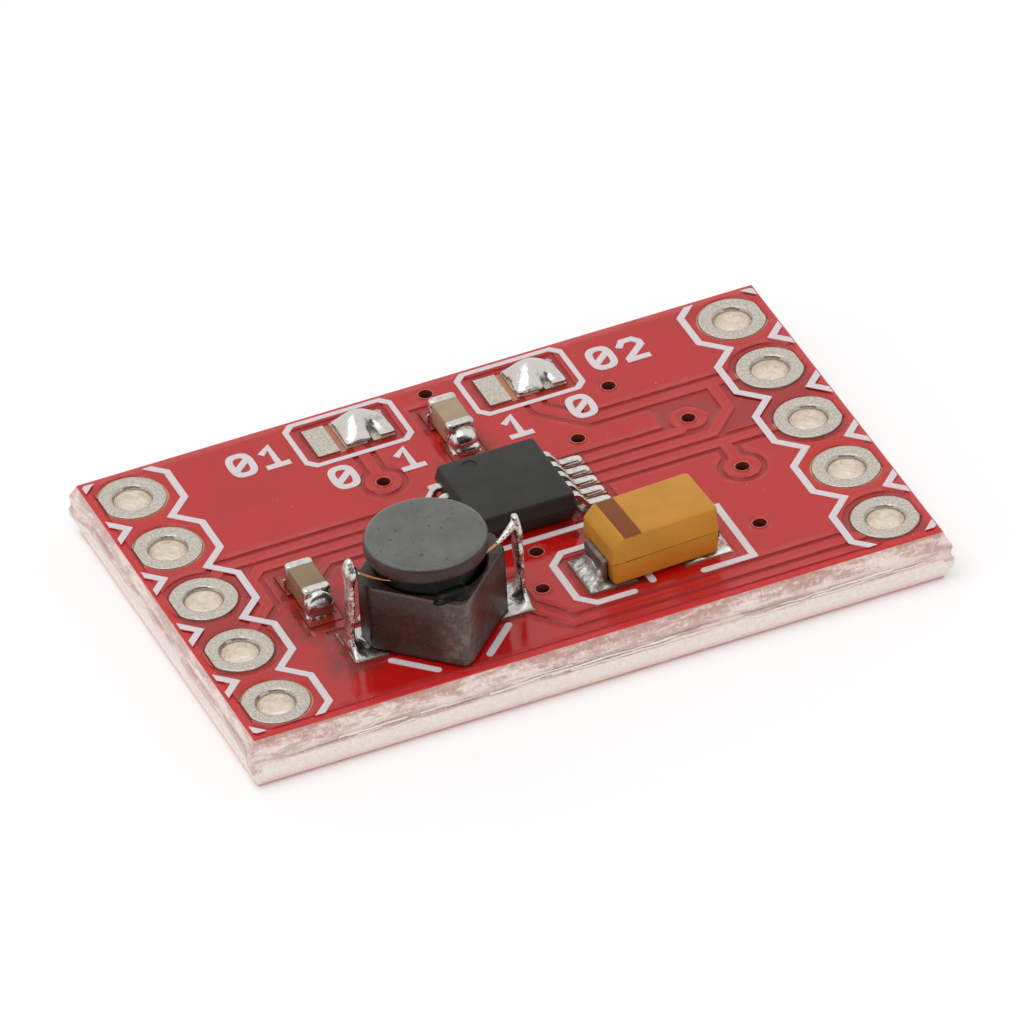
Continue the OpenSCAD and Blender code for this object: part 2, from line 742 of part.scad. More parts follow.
// Turns of wire around the post, packed into one ring with a ribbed outside
module coil_winding() {
    turn_h = (flange_z - winding_z) / turns;
    outer = winding_d / 2 - wire_d / 2;
    color([0.6, 0.3, 0.12])
    at_drum() rotate_extrude() polygon(concat(
        [[post_d / 2, flange_z], [post_d / 2, winding_z]],
        [for (k = [0 : turns - 1], a = [-60 : 60 : 60])
            [outer + wire_d / 2 * cos(a), winding_z + turn_h * (k + 0.5 + sin(a) / 2)]]));
}

module coil_shield() {
    color([0.26, 0.22, 0.21])
    at_coil() translate([0, 0, terminal_foot_t]) linear_extrude(shield_h)
    difference() {
        intersection() {
            rotate(45) square(shield_side, center = true);
            square([2 * corner_x, 2 * shield_side], center = true);
        }
        circle(shield_bore_d / 2);
    }
}

// Beads of glue in front and behind, from the shield's top up to the flange
module coil_glue() {
    shield_top = terminal_foot_t + shield_h;
    color([0.12, 0.11, 0.11])
    at_drum() intersection() {
        rotate_extrude() polygon([
            [winding_d / 2, shield_top], [glue_r, shield_top], [flange_d / 2 - flange_r, flange_z],
            [winding_d / 2, flange_z]]);
        for (side = SIDES) translate([0, side * glue_r, 0])
            cube([glue_w, 2 * glue_r - winding_d / 2, 2 * coil_h], center = true);
    }
}

// An upright strip with a pointed end, and a foot that the shield stands on
module coil_terminal(side) {
    half = terminal_w / 2;
    shoulder = terminal_h - terminal_tip;
    foot_in = coil_pad_x - coil_pad_l / 2;
    color([0.75, 0.72, 0.68])
    at_coil() mirrored(side) {
        translate([terminal_in + terminal_t / 2, 0, 0]) standing_across(terminal_t)
            polygon([[-half, 0], [half, 0], [half, shoulder], [0, terminal_h], [-half, shoulder]]);
        translate([foot_in, -half, 0]) cube([terminal_in - foot_in, terminal_w, terminal_foot_t]);
    }
}

// A straight round wire between two points, with both ends run on by a little
module rod(from, to, d, run_on) {
    v = to - from;
    translate(from - unit(v) * run_on)
    rotate([0, acos(unit(v)[2]), atan2(v[1], v[0])])
    cylinder(h = norm(v) + 2 * run_on, d = d);
}

// The wire's end, from the winding under the flange up to the terminal
module coil_wire(side) {
    end_r = winding_d / 2;
    drum = [side * drum_slip_x, drum_slip_y];
    wire_end = [drum[0] + end_r * cos(wire_angle), drum[1] + end_r * sin(wire_angle), wire_end_z];
    color([0.8, 0.42, 0.16])
    difference() {
        at_coil() mirrored(side) rod(wire_start, wire_end, wire_d, wire_d);
        coil_terminal(side);
        at_drum() cylinder(h = coil_h, d = winding_d);
    }
}

module coil_solder() {
    color([0.83, 0.83, 0.82])
    at_coil() for (side = SIDES) mirrored(side)
        fillet(terminal_out, coil_pad_toe, coil_solder_h, terminal_w);
}

module at_tantalum() {
    translate([TANTALUM[0] + tantalum_slip_x, TANTALUM[1] + tantalum_slip_y, pad_top])
        rotate(tantalum_yaw) children();
}

// A lead strip that leaves the case at its parting line and folds under it
module tantalum_strip(side) {
    strip_z = case_parting - strip_t;
    color([0.75, 0.74, 0.72])
    at_tantalum() mirrored(side) standing(strip_w)
    stroke([[case_l / 2 - strip_root, strip_z], [strip_mid, strip_z], [strip_mid, strip_t / 2],
        [strip_mid - strip_foot, strip_t / 2]], strip_t);
}

module tantalum_case() {
    half = case_l / 2;
    top = strip_t + case_h;
    color([0.82, 0.58, 0.24])
    difference() {
        at_tantalum() intersection() {
            standing(case_w + past) difference() {
                moulded_profile(half, strip_t, case_parting, top, case_draft);
                translate([case_draft - half, top]) rotate(45) square(case_bevel * sqrt(2), center = true);
            }
            standing_across(case_l + past)
                moulded_profile(case_w / 2, strip_t, case_parting, top, case_draft);
        }
        for (side = SIDES) tantalum_strip(side);
    }
}

module tantalum_solder() {
    pad_end = (tantalum_pad_span + tantalum_pad_l) / 2;
    color([0.83, 0.83, 0.82])
    at_tantalum() for (side = SIDES) mirrored(side)
        fillet(strip_out, pad_end - side * tantalum_slip_x - strip_out, tantalum_solder_h, strip_w);
}

// A block with every edge chamfered, standing on z = 0
module chamfered_block(size, c) {
    translate([0, 0, size[2] / 2])
    intersection() {
        linear_extrude(size[2], center = true) cut_rect(size[0] / 2, size[1] / 2, c);
        standing(size[1]) cut_rect(size[0] / 2, size[2] / 2, c);
        standing_across(size[0]) cut_rect(size[1] / 2, size[2] / 2, c);
    }
}

module ceramic_block(at) {
    inner = ceramic_w - 2 * ceramic_skin;
    translate([at[0], at[1], pad_top + ceramic_skin])
        chamfered_block([inner, ceramic_l - 2 * ceramic_skin, inner], ceramic_c);
}

module ceramic_body(at) {
    color([0.62, 0.52, 0.38]) ceramic_block(at);
}

module ceramic_metal(at, side) {
    color([0.84, 0.84, 0.84])
    difference() {
        translate([at[0], at[1], pad_top]) intersection() {
            chamfered_block([ceramic_w, ceramic_l, ceramic_w], ceramic_c);
            translate([0, side * (ceramic_l - ceramic_end) / 2, ceramic_w / 2])
                cube([2 * ceramic_w, ceramic_end, 2 * ceramic_w], center = true);
        }
        ceramic_block(at);
    }
}

module ceramic_solder(at) {
    reach = (ceramic_pad_span + ceramic_pad_l - ceramic_l) / 2;
    color([0.83, 0.83, 0.82])
    translate([at[0], at[1], pad_top]) for (side = SIDES) rotate(side * 90)
        fillet(ceramic_l / 2, reach, ceramic_solder_h, ceramic_w - 2 * ceramic_c);
}

substrate();
top_copper();
bottom_copper();
top_solder_mask();
bottom_solder_mask();
top_ink();
via_barrels();
for (i = PINS) {
    plated_hole(-1, i);
    plated_hole(1, i);
    chip_lead(-1, i);
    chip_lead(1, i);
}
tinned(CHIP_PADS);  // chip_pads
tinned(COIL_PADS);  // coil_pads
tinned(TANTALUM_PADS);  // tantalum_pads
tinned(ceramic_pads(BACK_CERAMIC));  // back_ceramic_pads
tinned(ceramic_pads(LEFT_CERAMIC));  // left_ceramic_pads
tinned(jumper_pads(-1));  // left_jumper_pads
tinned(jumper_pads(1));  // right_jumper_pads
jumper_bridge(-1);  // left_jumper_bridge
jumper_bridge(1);  // right_jumper_bridge
chip_body();
chip_solder();
coil_drum();
coil_winding();
coil_shield();
coil_glue();
coil_terminal(-1);  // coil_terminal_left
coil_terminal(1);  // coil_terminal_right
coil_wire(-1);  // coil_wire_left
coil_wire(1);  // coil_wire_right
coil_solder();
tantalum_case();
tantalum_strip(-1);  // tantalum_strip_left
tantalum_strip(1);  // tantalum_strip_right
tantalum_solder();
ceramic_body(BACK_CERAMIC);  // back_ceramic_body
ceramic_metal(BACK_CERAMIC, -1);  // back_ceramic_end_front
ceramic_metal(BACK_CERAMIC, 1);  // back_ceramic_end_back
ceramic_solder(BACK_CERAMIC);  // back_ceramic_solder
ceramic_body(LEFT_CERAMIC);  // left_ceramic_body
ceramic_metal(LEFT_CERAMIC, -1);  // left_ceramic_end_front
ceramic_metal(LEFT_CERAMIC, 1);  // left_ceramic_end_back
ceramic_solder(LEFT_CERAMIC);  // left_ceramic_solder
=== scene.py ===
"""Energy harvesting power module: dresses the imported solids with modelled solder, mouldings and finishes.

The file is laid out as a Blender add-on and is run as a script. Lengths in the mesh code are millimetres in
the part's own frame: +X along the long side, +Y to the back, +Z up, origin in the middle of the underside.
"""

import math

import bmesh
import bpy
import numpy as np
from bpy.props import FloatProperty, FloatVectorProperty, PointerProperty
from mathutils import Matrix, Vector, noise


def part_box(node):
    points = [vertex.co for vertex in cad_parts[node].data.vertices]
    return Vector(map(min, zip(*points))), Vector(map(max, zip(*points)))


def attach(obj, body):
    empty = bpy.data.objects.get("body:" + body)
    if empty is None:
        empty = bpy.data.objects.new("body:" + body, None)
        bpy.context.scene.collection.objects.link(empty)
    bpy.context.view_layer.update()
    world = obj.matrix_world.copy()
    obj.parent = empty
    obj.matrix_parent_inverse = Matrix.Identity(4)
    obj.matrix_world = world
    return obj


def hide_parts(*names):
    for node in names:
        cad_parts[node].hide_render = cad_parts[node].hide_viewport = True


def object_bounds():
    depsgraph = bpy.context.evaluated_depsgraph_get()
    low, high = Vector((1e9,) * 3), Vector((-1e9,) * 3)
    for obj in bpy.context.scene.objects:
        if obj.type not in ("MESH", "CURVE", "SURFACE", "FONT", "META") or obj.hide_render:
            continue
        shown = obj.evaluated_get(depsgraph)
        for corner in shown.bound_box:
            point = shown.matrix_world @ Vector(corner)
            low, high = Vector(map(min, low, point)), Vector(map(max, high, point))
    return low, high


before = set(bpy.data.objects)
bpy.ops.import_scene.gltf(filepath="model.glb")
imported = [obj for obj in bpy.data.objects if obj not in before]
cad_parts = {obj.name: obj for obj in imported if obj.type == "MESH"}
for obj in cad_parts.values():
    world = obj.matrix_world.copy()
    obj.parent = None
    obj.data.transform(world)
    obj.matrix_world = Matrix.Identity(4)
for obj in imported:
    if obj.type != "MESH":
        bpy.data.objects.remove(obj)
CAD_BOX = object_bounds()

bl_info = {
    "name": "Energy harvesting power module",
    "version": (1, 0, 0),
    "blender": (4, 5, 0),
    "location": "3D View > Sidebar > Module",
    "description": "Dresses the solids of a small power module and sets up its studio",
    "category": "Object",
}

MM = 0.001
SIDES = (("left", -1), ("right", 1))


def box_mm(node):
    """Lowest and highest corner of a CAD node, in millimetres."""
    low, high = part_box(node)
    return np.array(low) / MM, np.array(high) / MM


def middle_mm(node):
    """Middle of a CAD node's box, in millimetres."""
    low, high = box_mm(node)
    return (low + high) / 2


# Shapes of the board that its CAD boxes don't give
SKIN_T = 0.06
BOARD_TOP = box_mm("substrate")[1][2] + SKIN_T
PAD_TOP = box_mm("chip_pads")[1][2]
SCORE_INSET, WEB, EDGE_STEP = 0.25, 0.6, 0.08
WEB_LOW, WEB_HIGH = (BOARD_TOP - WEB) / 2, (BOARD_TOP + WEB) / 2
HOLE_ROW, HOLE_R, DRILL_R, VIA_R = 8.89, 0.508, 0.533, 0.225
HOLES = [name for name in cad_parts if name.startswith("plated_hole")]
VIAS = ((-2.54, 2.601), (5.979, 1.45), (6.391, -1.24), (0.03, 5.751), (4.63, 3.8), (2.931, 1.971),
        (5.771, -3.78), (-0.099, -2.2), (-0.599, -3.78))
JUMPER_GAPS = ((-2.94, 5.08, 1.54), (2.14, 5.08, 1.54))

# Flux left on the mask, and painted shade round the left ceramic and the coil: its place, its reach and how
# dark it is
FLUX_AND_SHADE_PLACES = (((-6.0, -1.6, 1.6), 2.6, 0.5), ((-6.35, -2.3, 1.6), 1.5, 1.0), ((-6.3, -4.3, 1.6), 1.2, 1.0),
               ((0.1, 2.6, 1.6), 1.3, 1.0), ((1.5, -1.7, 1.6), 1.4, 1.0), ((0.9, -3.2, 1.6), 1.0, 1.0))

# Height of the tantalum case's parting line over its pads
CASE_PARTING = 0.82


# Mesh helpers


def smooth_step(value, start, end):
    """0 before start, 1 after end, smooth between them."""
    t = min(1.0, max(0.0, (value - start) / (end - start)))
    return t * t * (3 - 2 * t)


def wander(point, scale, seed=0.0):
    """Smooth noise between about -1 and 1 at a point, with features 1 / scale millimetres wide."""
    x, y, z = (float(v) * scale for v in point)
    return noise.noise(Vector((x + seed * 17.3, y - seed * 9.1, z + seed * 5.7)))


def circle(count):
    """Cosine and sine of even turns round a circle."""
    turns = [2 * math.pi * k / count for k in range(count)]
    return [(math.cos(a), math.sin(a)) for a in turns]


def squared(value, power):
    """A cosine or sine raised to a power with its sign kept. Below 1, it squares off a round plan."""
    return math.copysign(abs(value) ** power, value)


def loft(rings, caps=True, wrap=False, closed=True):
    """Points and faces of a skin over rings of equal length, capped at its ends or wrapped into a loop."""
    count, total = len(rings[0]), len(rings)
    faces = []
    for k in range(total if wrap else total - 1):
        a, b = k * count, (k + 1) % total * count
        steps = range(count if closed else count - 1)
        faces += [(a + i, a + (i + 1) % count, b + (i + 1) % count, b + i) for i in steps]
    if caps and not wrap:
        faces.append(tuple(reversed(range(count))))
        faces.append(tuple(range((total - 1) * count, total * count)))
    return np.concatenate(rings), faces


def revolved(x, y, count, section):
    """Rings turned about an upright axis, where section(cosine, sine) gives (radius, height) points."""
    return [np.array([(x + r * c, y + r * s, z) for r, z in section(c, s)]) for c, s in circle(count)]


def rod(x, y, profile, count):
    """An upright round rod from its (radius, height) profile."""
    return loft([np.array([(x + r * c, y + r * s, z) for c, s in circle(count)]) for r, z in profile])


def joined(shapes):
    """One list of points and one of faces from several."""
    points, faces, base = [], [], 0
    for p, f in shapes:
        points.append(np.asarray(p, float))
        faces += [tuple(base + i for i in face) for face in f]
        base += len(p)
    return np.concatenate(points), faces


def turned(shape, yaw, at):
    """A shape turned about Z and moved to a place."""
    points, faces = shape
    c, s = math.cos(yaw), math.sin(yaw)
    return points @ np.array([(c, s, 0), (-s, c, 0), (0, 0, 1)]) + at, faces


def level_ring(outline, z):
    """Points of a level outline at a height."""
    return np.column_stack([outline, np.full(len(outline), z)])


def rounded_ring(x0, x1, y0, y1, z, radius, steps=5):
    """Ring of a level rectangle with round corners."""
    left, right, front, back = x0 + radius, x1 - radius, y0 + radius, y1 - radius
    ring = []
    for quarter, (cx, cy) in enumerate(((right, back), (left, back), (left, front), (right, front))):
        for k in range(steps + 1):
            a = math.pi / 2 * (quarter + k / steps)
            ring.append((cx + radius * math.cos(a), cy + radius * math.sin(a), z))
    return np.array(ring)


def rounded_path(corners, reach, steps, closed=False):
    """A path whose corners are cut by curves that start at a given reach from each."""
    corners = [np.array(c, float) for c in corners]
    count = len(corners)
    path = []
    for i, corner in enumerate(corners):
        if not closed and i in (0, count - 1):
            path.append(corner)
            continue
        before, after = corners[i - 1] - corner, corners[(i + 1) % count] - corner
        r = reach[i] if isinstance(reach, tuple) else reach
        a = corner + before * min(0.49, r / np.linalg.norm(before))
        b = corner + after * min(0.49, r / np.linalg.norm(after))
        for t in (k / steps for k in range(steps + 1)):
            path.append((1 - t) ** 2 * a + 2 * t * (1 - t) * corner + t**2 * b)
    return np.array(path)


def dense(path, step):
    """A closed path in close steps."""
    points = []
    for a, b in zip(path, np.roll(path, -1, axis=0)):
        count = max(1, int(np.linalg.norm(b - a) / step))
        points += [a + (b - a) * k / count for k in range(count)]
    return np.array(points)


def swept(path, section, side):
    """A closed section of (side, normal) offsets swept along a path that is square to the side."""
    path, side = np.asarray(path, float), np.asarray(side, float)
    rings = []
    for i, p in enumerate(path):
        along = path[min(i + 1, len(path) - 1)] - path[max(i - 1, 0)]
        normal = np.cross(along / np.linalg.norm(along), side)
        rings.append(np.array([p + a * side + b * normal for a, b in section]))
    return loft(rings)


def flat_section(width, thick, edge=0.025):
    """Section of a flat strip with its edges broken."""
    w, t = width / 2, thick / 2
    return [(w, edge - t), (w, t - edge), (w - edge, t), (edge - w, t),
            (-w, t - edge), (-w, edge - t), (edge - w, -t), (w - edge, -t)]


def round_section(radius, count=10):
    """Section of a round wire."""
    return [(radius * c, radius * s) for c, s in circle(count)]


def pool(outline, centre, base, height, rings, lip=0.006):
    """Solder on a pad: a level outline whose points run in to a centre, raised inside by height(x, y)."""
    centre = np.asarray(centre, float)

    def raised(x, y, share):
        return x, y, base + (lip + (1 - share**8) * height(x, y))

    skins = [level_ring(outline, base)]
    for share in (1 - k / rings for k in range(rings)):
        skins.append(np.array([raised(x, y, share) for x, y in centre + (outline - centre) * share]))
    points, faces = loft(skins, caps=False)
    apex, count = len(points), len(outline)
    points = np.vstack([points, raised(*centre, 0.0)])
    first = apex - count
    faces += [(first + i, first + (i + 1) % count, apex) for i in range(count)]
    faces.append(tuple(reversed(range(count))))
    return points, faces


def pad_outline(node, sign, along, corner):
    """Outline in close steps of the solder on the left (-1) or right (1) pad of a pair."""
    low, high = box_mm(node)
    outer = high[0] if sign > 0 else low[0]
    inset_x, inset_y, step = 0.01, 0.02, 0.06
    x0, x1 = sorted((outer, outer - sign * along))
    x0, x1, y0, y1 = x0 + inset_x, x1 - inset_x, low[1] + inset_y, high[1] - inset_y
    corners = [(x1, y1), (x0, y1), (x0, y0), (x1, y0)]
    return dense(rounded_path(corners, corner, 5, closed=True), step)


def lump(centre, radii, square=1.0, levels=16, count=32):
    """A ball with its own radius along each axis. Below 1, square makes its plan fill corners."""
    rings = []
    for rise in (math.pi * (k / levels - 0.5) for k in range(1, levels)):
        level, up = math.cos(rise), math.sin(rise)
        ring = [(squared(c, square) * level, squared(s, square) * level, up) for c, s in circle(count)]
        rings.append(np.array(ring) * radii + centre)
    return loft(rings)


def linked(name, points, faces):
    """A new object in the scene with a mesh of its own."""
    mesh = bpy.data.meshes.new(name)
    mesh.from_pydata([tuple(p) for p in points], [], faces)
    thing = bpy.data.objects.new(name, mesh)
    bpy.context.scene.collection.objects.link(thing)
    return thing


def final_mesh(thing):
    """A new mesh of an object with its modifiers applied."""
    graph = bpy.context.evaluated_depsgraph_get()
    return bpy.data.meshes.new_from_object(thing.evaluated_get(graph))


def shade_smooth(mesh, crease):
    """Smooth shading that breaks where faces meet at more than an angle in degrees."""
    mesh.shade_smooth()
    mesh.set_sharp_from_angle(angle=math.radians(crease))


def add_piece(name, shape, finish, slot, *nodes, crease=35.0):
    """Links a piece given in millimetres, which rides on the board and stands for the named CAD nodes."""
    points, faces = shape
    piece = linked(name, np.asarray(points, float) * MM, faces)
    mesh = piece.data
    build = bmesh.new()
    build.from_mesh(mesh)
    bmesh.ops.remove_doubles(build, verts=build.verts, dist=1e-8)
    bmesh.ops.recalc_face_normals(build, faces=build.faces)
    build.to_mesh(mesh)
    build.free()
    shade_smooth(mesh, crease)
    mesh.materials.append(finish)
    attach(piece, "root")
    if nodes:
        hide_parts(*nodes)
    return piece


def add_solder(name, joints, finish, node):
    """Links solder joints as one piece that stands for a CAD node."""
    add_piece(name, joined(joints), finish, "solder", node, crease=60)


def carve(piece, tools, operation="DIFFERENCE", crease=35.0):
    """Cuts shapes from a piece, or joins them to it, with an exact boolean."""
    points, faces = joined(tools)
    tool = linked("tool", points * MM, faces)
    cut = piece.modifiers.new("carve", "BOOLEAN")
    cut.operation, cut.solver, cut.object = operation, "EXACT", tool
    carved = final_mesh(piece)
    piece.modifiers.clear()
    piece.data = carved
    shade_smooth(carved, crease)
    bpy.data.objects.remove(tool)


def melted(shapes, base, voxel, rounds):
    """Melts shapes into one skin that stands flat on a level: a voxel remesh, then rounds of smoothing."""
    blob = linked("melt", *joined(shapes))
    remesh = blob.modifiers.new("skin", "REMESH")
    remesh.mode, remesh.voxel_size = "VOXEL", voxel
    smooth = blob.modifiers.new("flow", "SMOOTH")
    smooth.factor, smooth.iterations = 0.5, rounds
    skin = final_mesh(blob)
    points = np.empty(3 * len(skin.vertices))
    skin.vertices.foreach_get("co", points)
    points = points.reshape(-1, 3)
    points[:, 2] = np.maximum(points[:, 2], base)
    bpy.data.objects.remove(blob)
    return points, [tuple(p.vertices) for p in skin.polygons]


def film(box, inside, dome, base, cell, held=None, lip=0.012, rounds=900):
    """Solder that settled like a skin: flat along its outline, domed inside, raised where it is held."""

    def beside(grid):
        return [np.roll(grid, shift, axis) for axis in (0, 1) for shift in (-1, 1)]

    def around(grid):
        return sum(np.roll(grid, (i, j), (0, 1)) for i in (-1, 0, 1) for j in (-1, 0, 1))

    x0, x1, y0, y1 = box
    lines = [np.linspace(a, b, round((b - a) / cell) + 1) for a, b in ((x0, x1), (y0, y1))]
    x, y = np.meshgrid(*lines, indexing="ij")
    keep = np.pad(inside(x, y), 1)
    rim = keep & ~np.logical_and.reduce(beside(keep))
    pinned = np.pad(held(x, y) if held else np.full(x.shape, np.nan), 1, constant_values=np.nan)
    free = keep & ~rim & np.isnan(pinned)
    height = np.where(keep & ~np.isnan(pinned), pinned, 0.0)
    source = np.pad(dome(x, y), 1) * cell**2 / 4
    for _ in range(rounds):
        height = np.where(free, sum(beside(height)) / 4 + source, height)
    level = np.stack([np.pad(x, 1, mode="edge"), np.pad(y, 1, mode="edge")], axis=-1)
    on_rim = rim[..., None]
    for _ in range(2):
        weight = np.maximum(around(rim.astype(float)), 1)[..., None]
        level = np.where(on_rim, around(np.where(on_rim, level, 0.0)) / weight, level)
    top = np.column_stack([level[keep], base + lip + height[keep]])
    count = len(top)
    spot = np.full(keep.shape, -1)
    spot[keep] = np.arange(count)
    faces, edges = [], {}
    for i, j in zip(*np.nonzero(keep[:-1, :-1] & keep[1:, :-1] & keep[1:, 1:] & keep[:-1, 1:])):
        quad = (spot[i, j], spot[i + 1, j], spot[i + 1, j + 1], spot[i, j + 1])
        faces += [quad, tuple(k + count for k in reversed(quad))]
        for a, b in zip(quad, quad[1:] + quad[:1]):
            if edges.pop((b, a), None) is None:
                edges[a, b] = True
    faces += [(a, a + count, b + count, b) for a, b in edges]
    return np.vstack([top, level_ring(level[keep], base)]), [tuple(int(k) for k in face) for face in faces]


def dress(finish, *nodes):
    """Gives CAD nodes a finish in place of their plain one."""
    for name in nodes:
        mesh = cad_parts[name].data
        mesh.materials.clear()
        mesh.materials.append(finish)


# Finish helpers


class Finish:
    """A procedural material in the making, with coordinates in millimetres of the part's frame.

    A field is a node's output, or a tuple with the arguments of a grain.
    """

    def __init__(self, name, **sockets):
        self.material = bpy.data.materials.new(name)
        self.material.use_nodes = True
        self.tree = self.material.node_tree
        self.tree.nodes.clear()
        self.shader = self.add("ShaderNodeBsdfPrincipled")
        self.out = self.add("ShaderNodeOutputMaterial")
        self.link(self.shader.outputs["BSDF"], self.out.inputs["Surface"])
        for socket, value in sockets.items():
            self.shader.inputs[socket.replace("_", " ")].default_value = value
        self.place = self.add("ShaderNodeTexCoord").outputs["Object"]

    def add(self, kind, **settings):
        node = self.tree.nodes.new(kind)
        for key, value in settings.items():
            setattr(node, key, value)
        return node

    def link(self, output, socket):
        self.tree.links.new(output, socket)

    def feed(self, socket, value):
        """Puts a number, colour or another node's output on a socket."""
        if isinstance(value, bpy.types.NodeSocket):
            self.link(value, socket)
        else:
            socket.default_value = value

    def coords(self, stretch=(1, 1, 1), turn=0.0, shift=(0, 0, 0)):
        """Coordinates in millimetres, turned about Z, shifted and stretched."""
        move = self.add("ShaderNodeMapping", vector_type="TEXTURE")
        move.inputs["Location"].default_value = [v * MM for v in shift]
        move.inputs["Rotation"].default_value = (0, 0, turn)
        move.inputs["Scale"].default_value = [MM / v for v in stretch]
        self.link(self.place, move.inputs["Vector"])
        return move.outputs["Vector"]

    def texture(self, kind, coords, **numbers):
        """A texture's node on given coordinates, with numbers on its sockets."""
        node = self.add(kind)
        for name, number in numbers.items():
            node.inputs[name].default_value = number
        self.link(coords, node.inputs["Vector"])
        return node

    def grain(self, scale, detail=3.0, rough=0.55, stretch=(1, 1, 1), distort=0.0):
        """Noise with features of about 1 / scale millimetres."""
        return self.texture("ShaderNodeTexNoise", self.coords(stretch), Scale=scale, Detail=detail,
                            Roughness=rough, Distortion=distort).outputs["Fac"]

    def field(self, value):
        """The output of a field."""
        return self.grain(*value) if isinstance(value, tuple) else value

    def specks(self, scale, size):
        """1 in small round specks, 0 between them."""
        cells = self.texture("ShaderNodeTexVoronoi", self.coords(), Scale=scale)
        return self.span(cells.outputs["Distance"], size, size * 0.5)

    def span(self, field, low, high, to_low=0.0, to_high=1.0):
        """Maps a stretch of values smoothly to another."""
        node = self.add("ShaderNodeMapRange", interpolation_type="SMOOTHSTEP")
        self.link(self.field(field), node.inputs["Value"])
        limits = {"From Min": low, "From Max": high, "To Min": to_low, "To Max": to_high}
        for name, number in limits.items():
            node.inputs[name].default_value = number
        return node.outputs["Result"]

    def math(self, operation, a, b=0.0):
        node = self.add("ShaderNodeMath", operation=operation)
        self.feed(node.inputs[0], a)
        self.feed(node.inputs[1], b)
        return node.outputs["Value"]

    def plus(self, a, b):
        return self.math("ADD", a, b)

    def minus(self, a, b):
        return self.math("SUBTRACT", a, b)

    def times(self, a, b):
        return self.math("MULTIPLY", a, b)

    def size(self, value):
        return self.math("ABSOLUTE", value)

    def mix(self, share, a, b):
        """Colour a where share is 0 and colour b where it is 1."""
        node = self.add("ShaderNodeMix", data_type="RGBA")
        self.link(self.field(share), node.inputs["Factor"])
        for socket, colour in ((6, a), (7, b)):
            plain = not isinstance(colour, bpy.types.NodeSocket)
            self.feed(node.inputs[socket], (*colour[:3], 1) if plain else colour)
        return node.outputs[2]

    def blend(self, field, a, b, low=0.3, high=0.7, most=1.0):
        """Colour a, turning into colour b, or a share of it at most, as a field goes from low to high."""
        return self.mix(self.span(field, low, high, 0.0, most), a, b)

    def shades(self, field, colour, dark, light, low=0.3, high=0.7, most=1.0):
        """One shade of a colour, turning into another in the same way."""
        return self.blend(field, shade(colour, dark), shade(colour, light), low, high, most)

    def axes(self, coords=None):
        """X, Y and Z in millimetres."""
        node = self.add("ShaderNodeSeparateXYZ")
        self.link(coords or self.coords(), node.inputs["Vector"])
        return node.outputs["X"], node.outputs["Y"], node.outputs["Z"]

    def facing_up(self):
        """1 on level faces, 0 on upright ones."""
        normal = self.add("ShaderNodeNewGeometry").outputs["Normal"]
        return self.span(self.axes(normal)[2], 0.5, 0.8)

    def upright(self):
        """1 on the solid's upright faces, 0 on its level ones."""
        normal = self.add("ShaderNodeNewGeometry").outputs["True Normal"]
        return self.span(self.size(self.axes(normal)[2]), 0.6, 0.4)

    def near(self, place, inner, outer):
        """1 within a distance of a point, fading to 0 at another."""
        node = self.add("ShaderNodeVectorMath", operation="DISTANCE")
        self.link(self.coords(), node.inputs[0])
        node.inputs[1].default_value = place
        return self.span(node.outputs["Value"], outer, inner)

    def soft_edges(self, radius, share):
        """Normals that flow round edges, with the rest of their share held square to the board."""
        bevel = self.add("ShaderNodeBevel", samples=8)
        bevel.inputs["Radius"].default_value = radius * MM
        flow, both, even = (self.add("ShaderNodeVectorMath", operation=operation)
                            for operation in ("SCALE", "ADD", "NORMALIZE"))
        flow.inputs["Scale"].default_value = share
        square = self.add("ShaderNodeCombineXYZ")
        middle = BOARD_TOP / 2
        rest = self.span(self.axes()[2], middle - 0.1, middle + 0.1, share - 1, 1 - share)
        self.link(rest, square.inputs["Z"])
        self.link(bevel.outputs["Normal"], flow.inputs[0])
        self.link(flow.outputs["Vector"], both.inputs[0])
        self.link(square.outputs["Vector"], both.inputs[1])
        self.link(both.outputs["Vector"], even.inputs[0])
        return even.outputs["Vector"]

    def done(self, colour, gloss, *relief, normal=None):
        """The material, from its colour, its gloss and (field, depth in millimetres) layers of relief.

        The gloss is a roughness, or a field, its two roughnesses and the values between which they change.
        """
        self.link(colour, self.shader.inputs["Base Color"])
        if isinstance(gloss, tuple):
            field, low, high, start, end = (*gloss, 0.3, 0.7)[:5]
            gloss = self.span(field, start, end, low, high)
        self.feed(self.shader.inputs["Roughness"], gloss)
        for field, depth in relief:
            node = self.add("ShaderNodeBump")
            node.inputs["Distance"].default_value = depth * MM
            self.link(self.field(field), node.inputs["Height"])
            if normal:
                self.link(normal, node.inputs["Normal"])
            normal = node.outputs["Normal"]
        if normal:
            self.link(normal, self.shader.inputs["Normal"])
        return self.material


def shade(colour, factor):
    """A colour made darker or lighter."""
    return tuple(min(1.0, c * factor) for c in colour[:3])


def blotched(name, a, b, blotches, gloss, *relief, **sockets):
    """A finish of colour a with blotches of colour b, which are a grain, or a grain and its limits."""
    f = Finish(name, **sockets)
    share = f.span(*blotches) if isinstance(blotches[0], tuple) else blotches
    return f.done(f.mix(share, a, b), gloss, *relief)


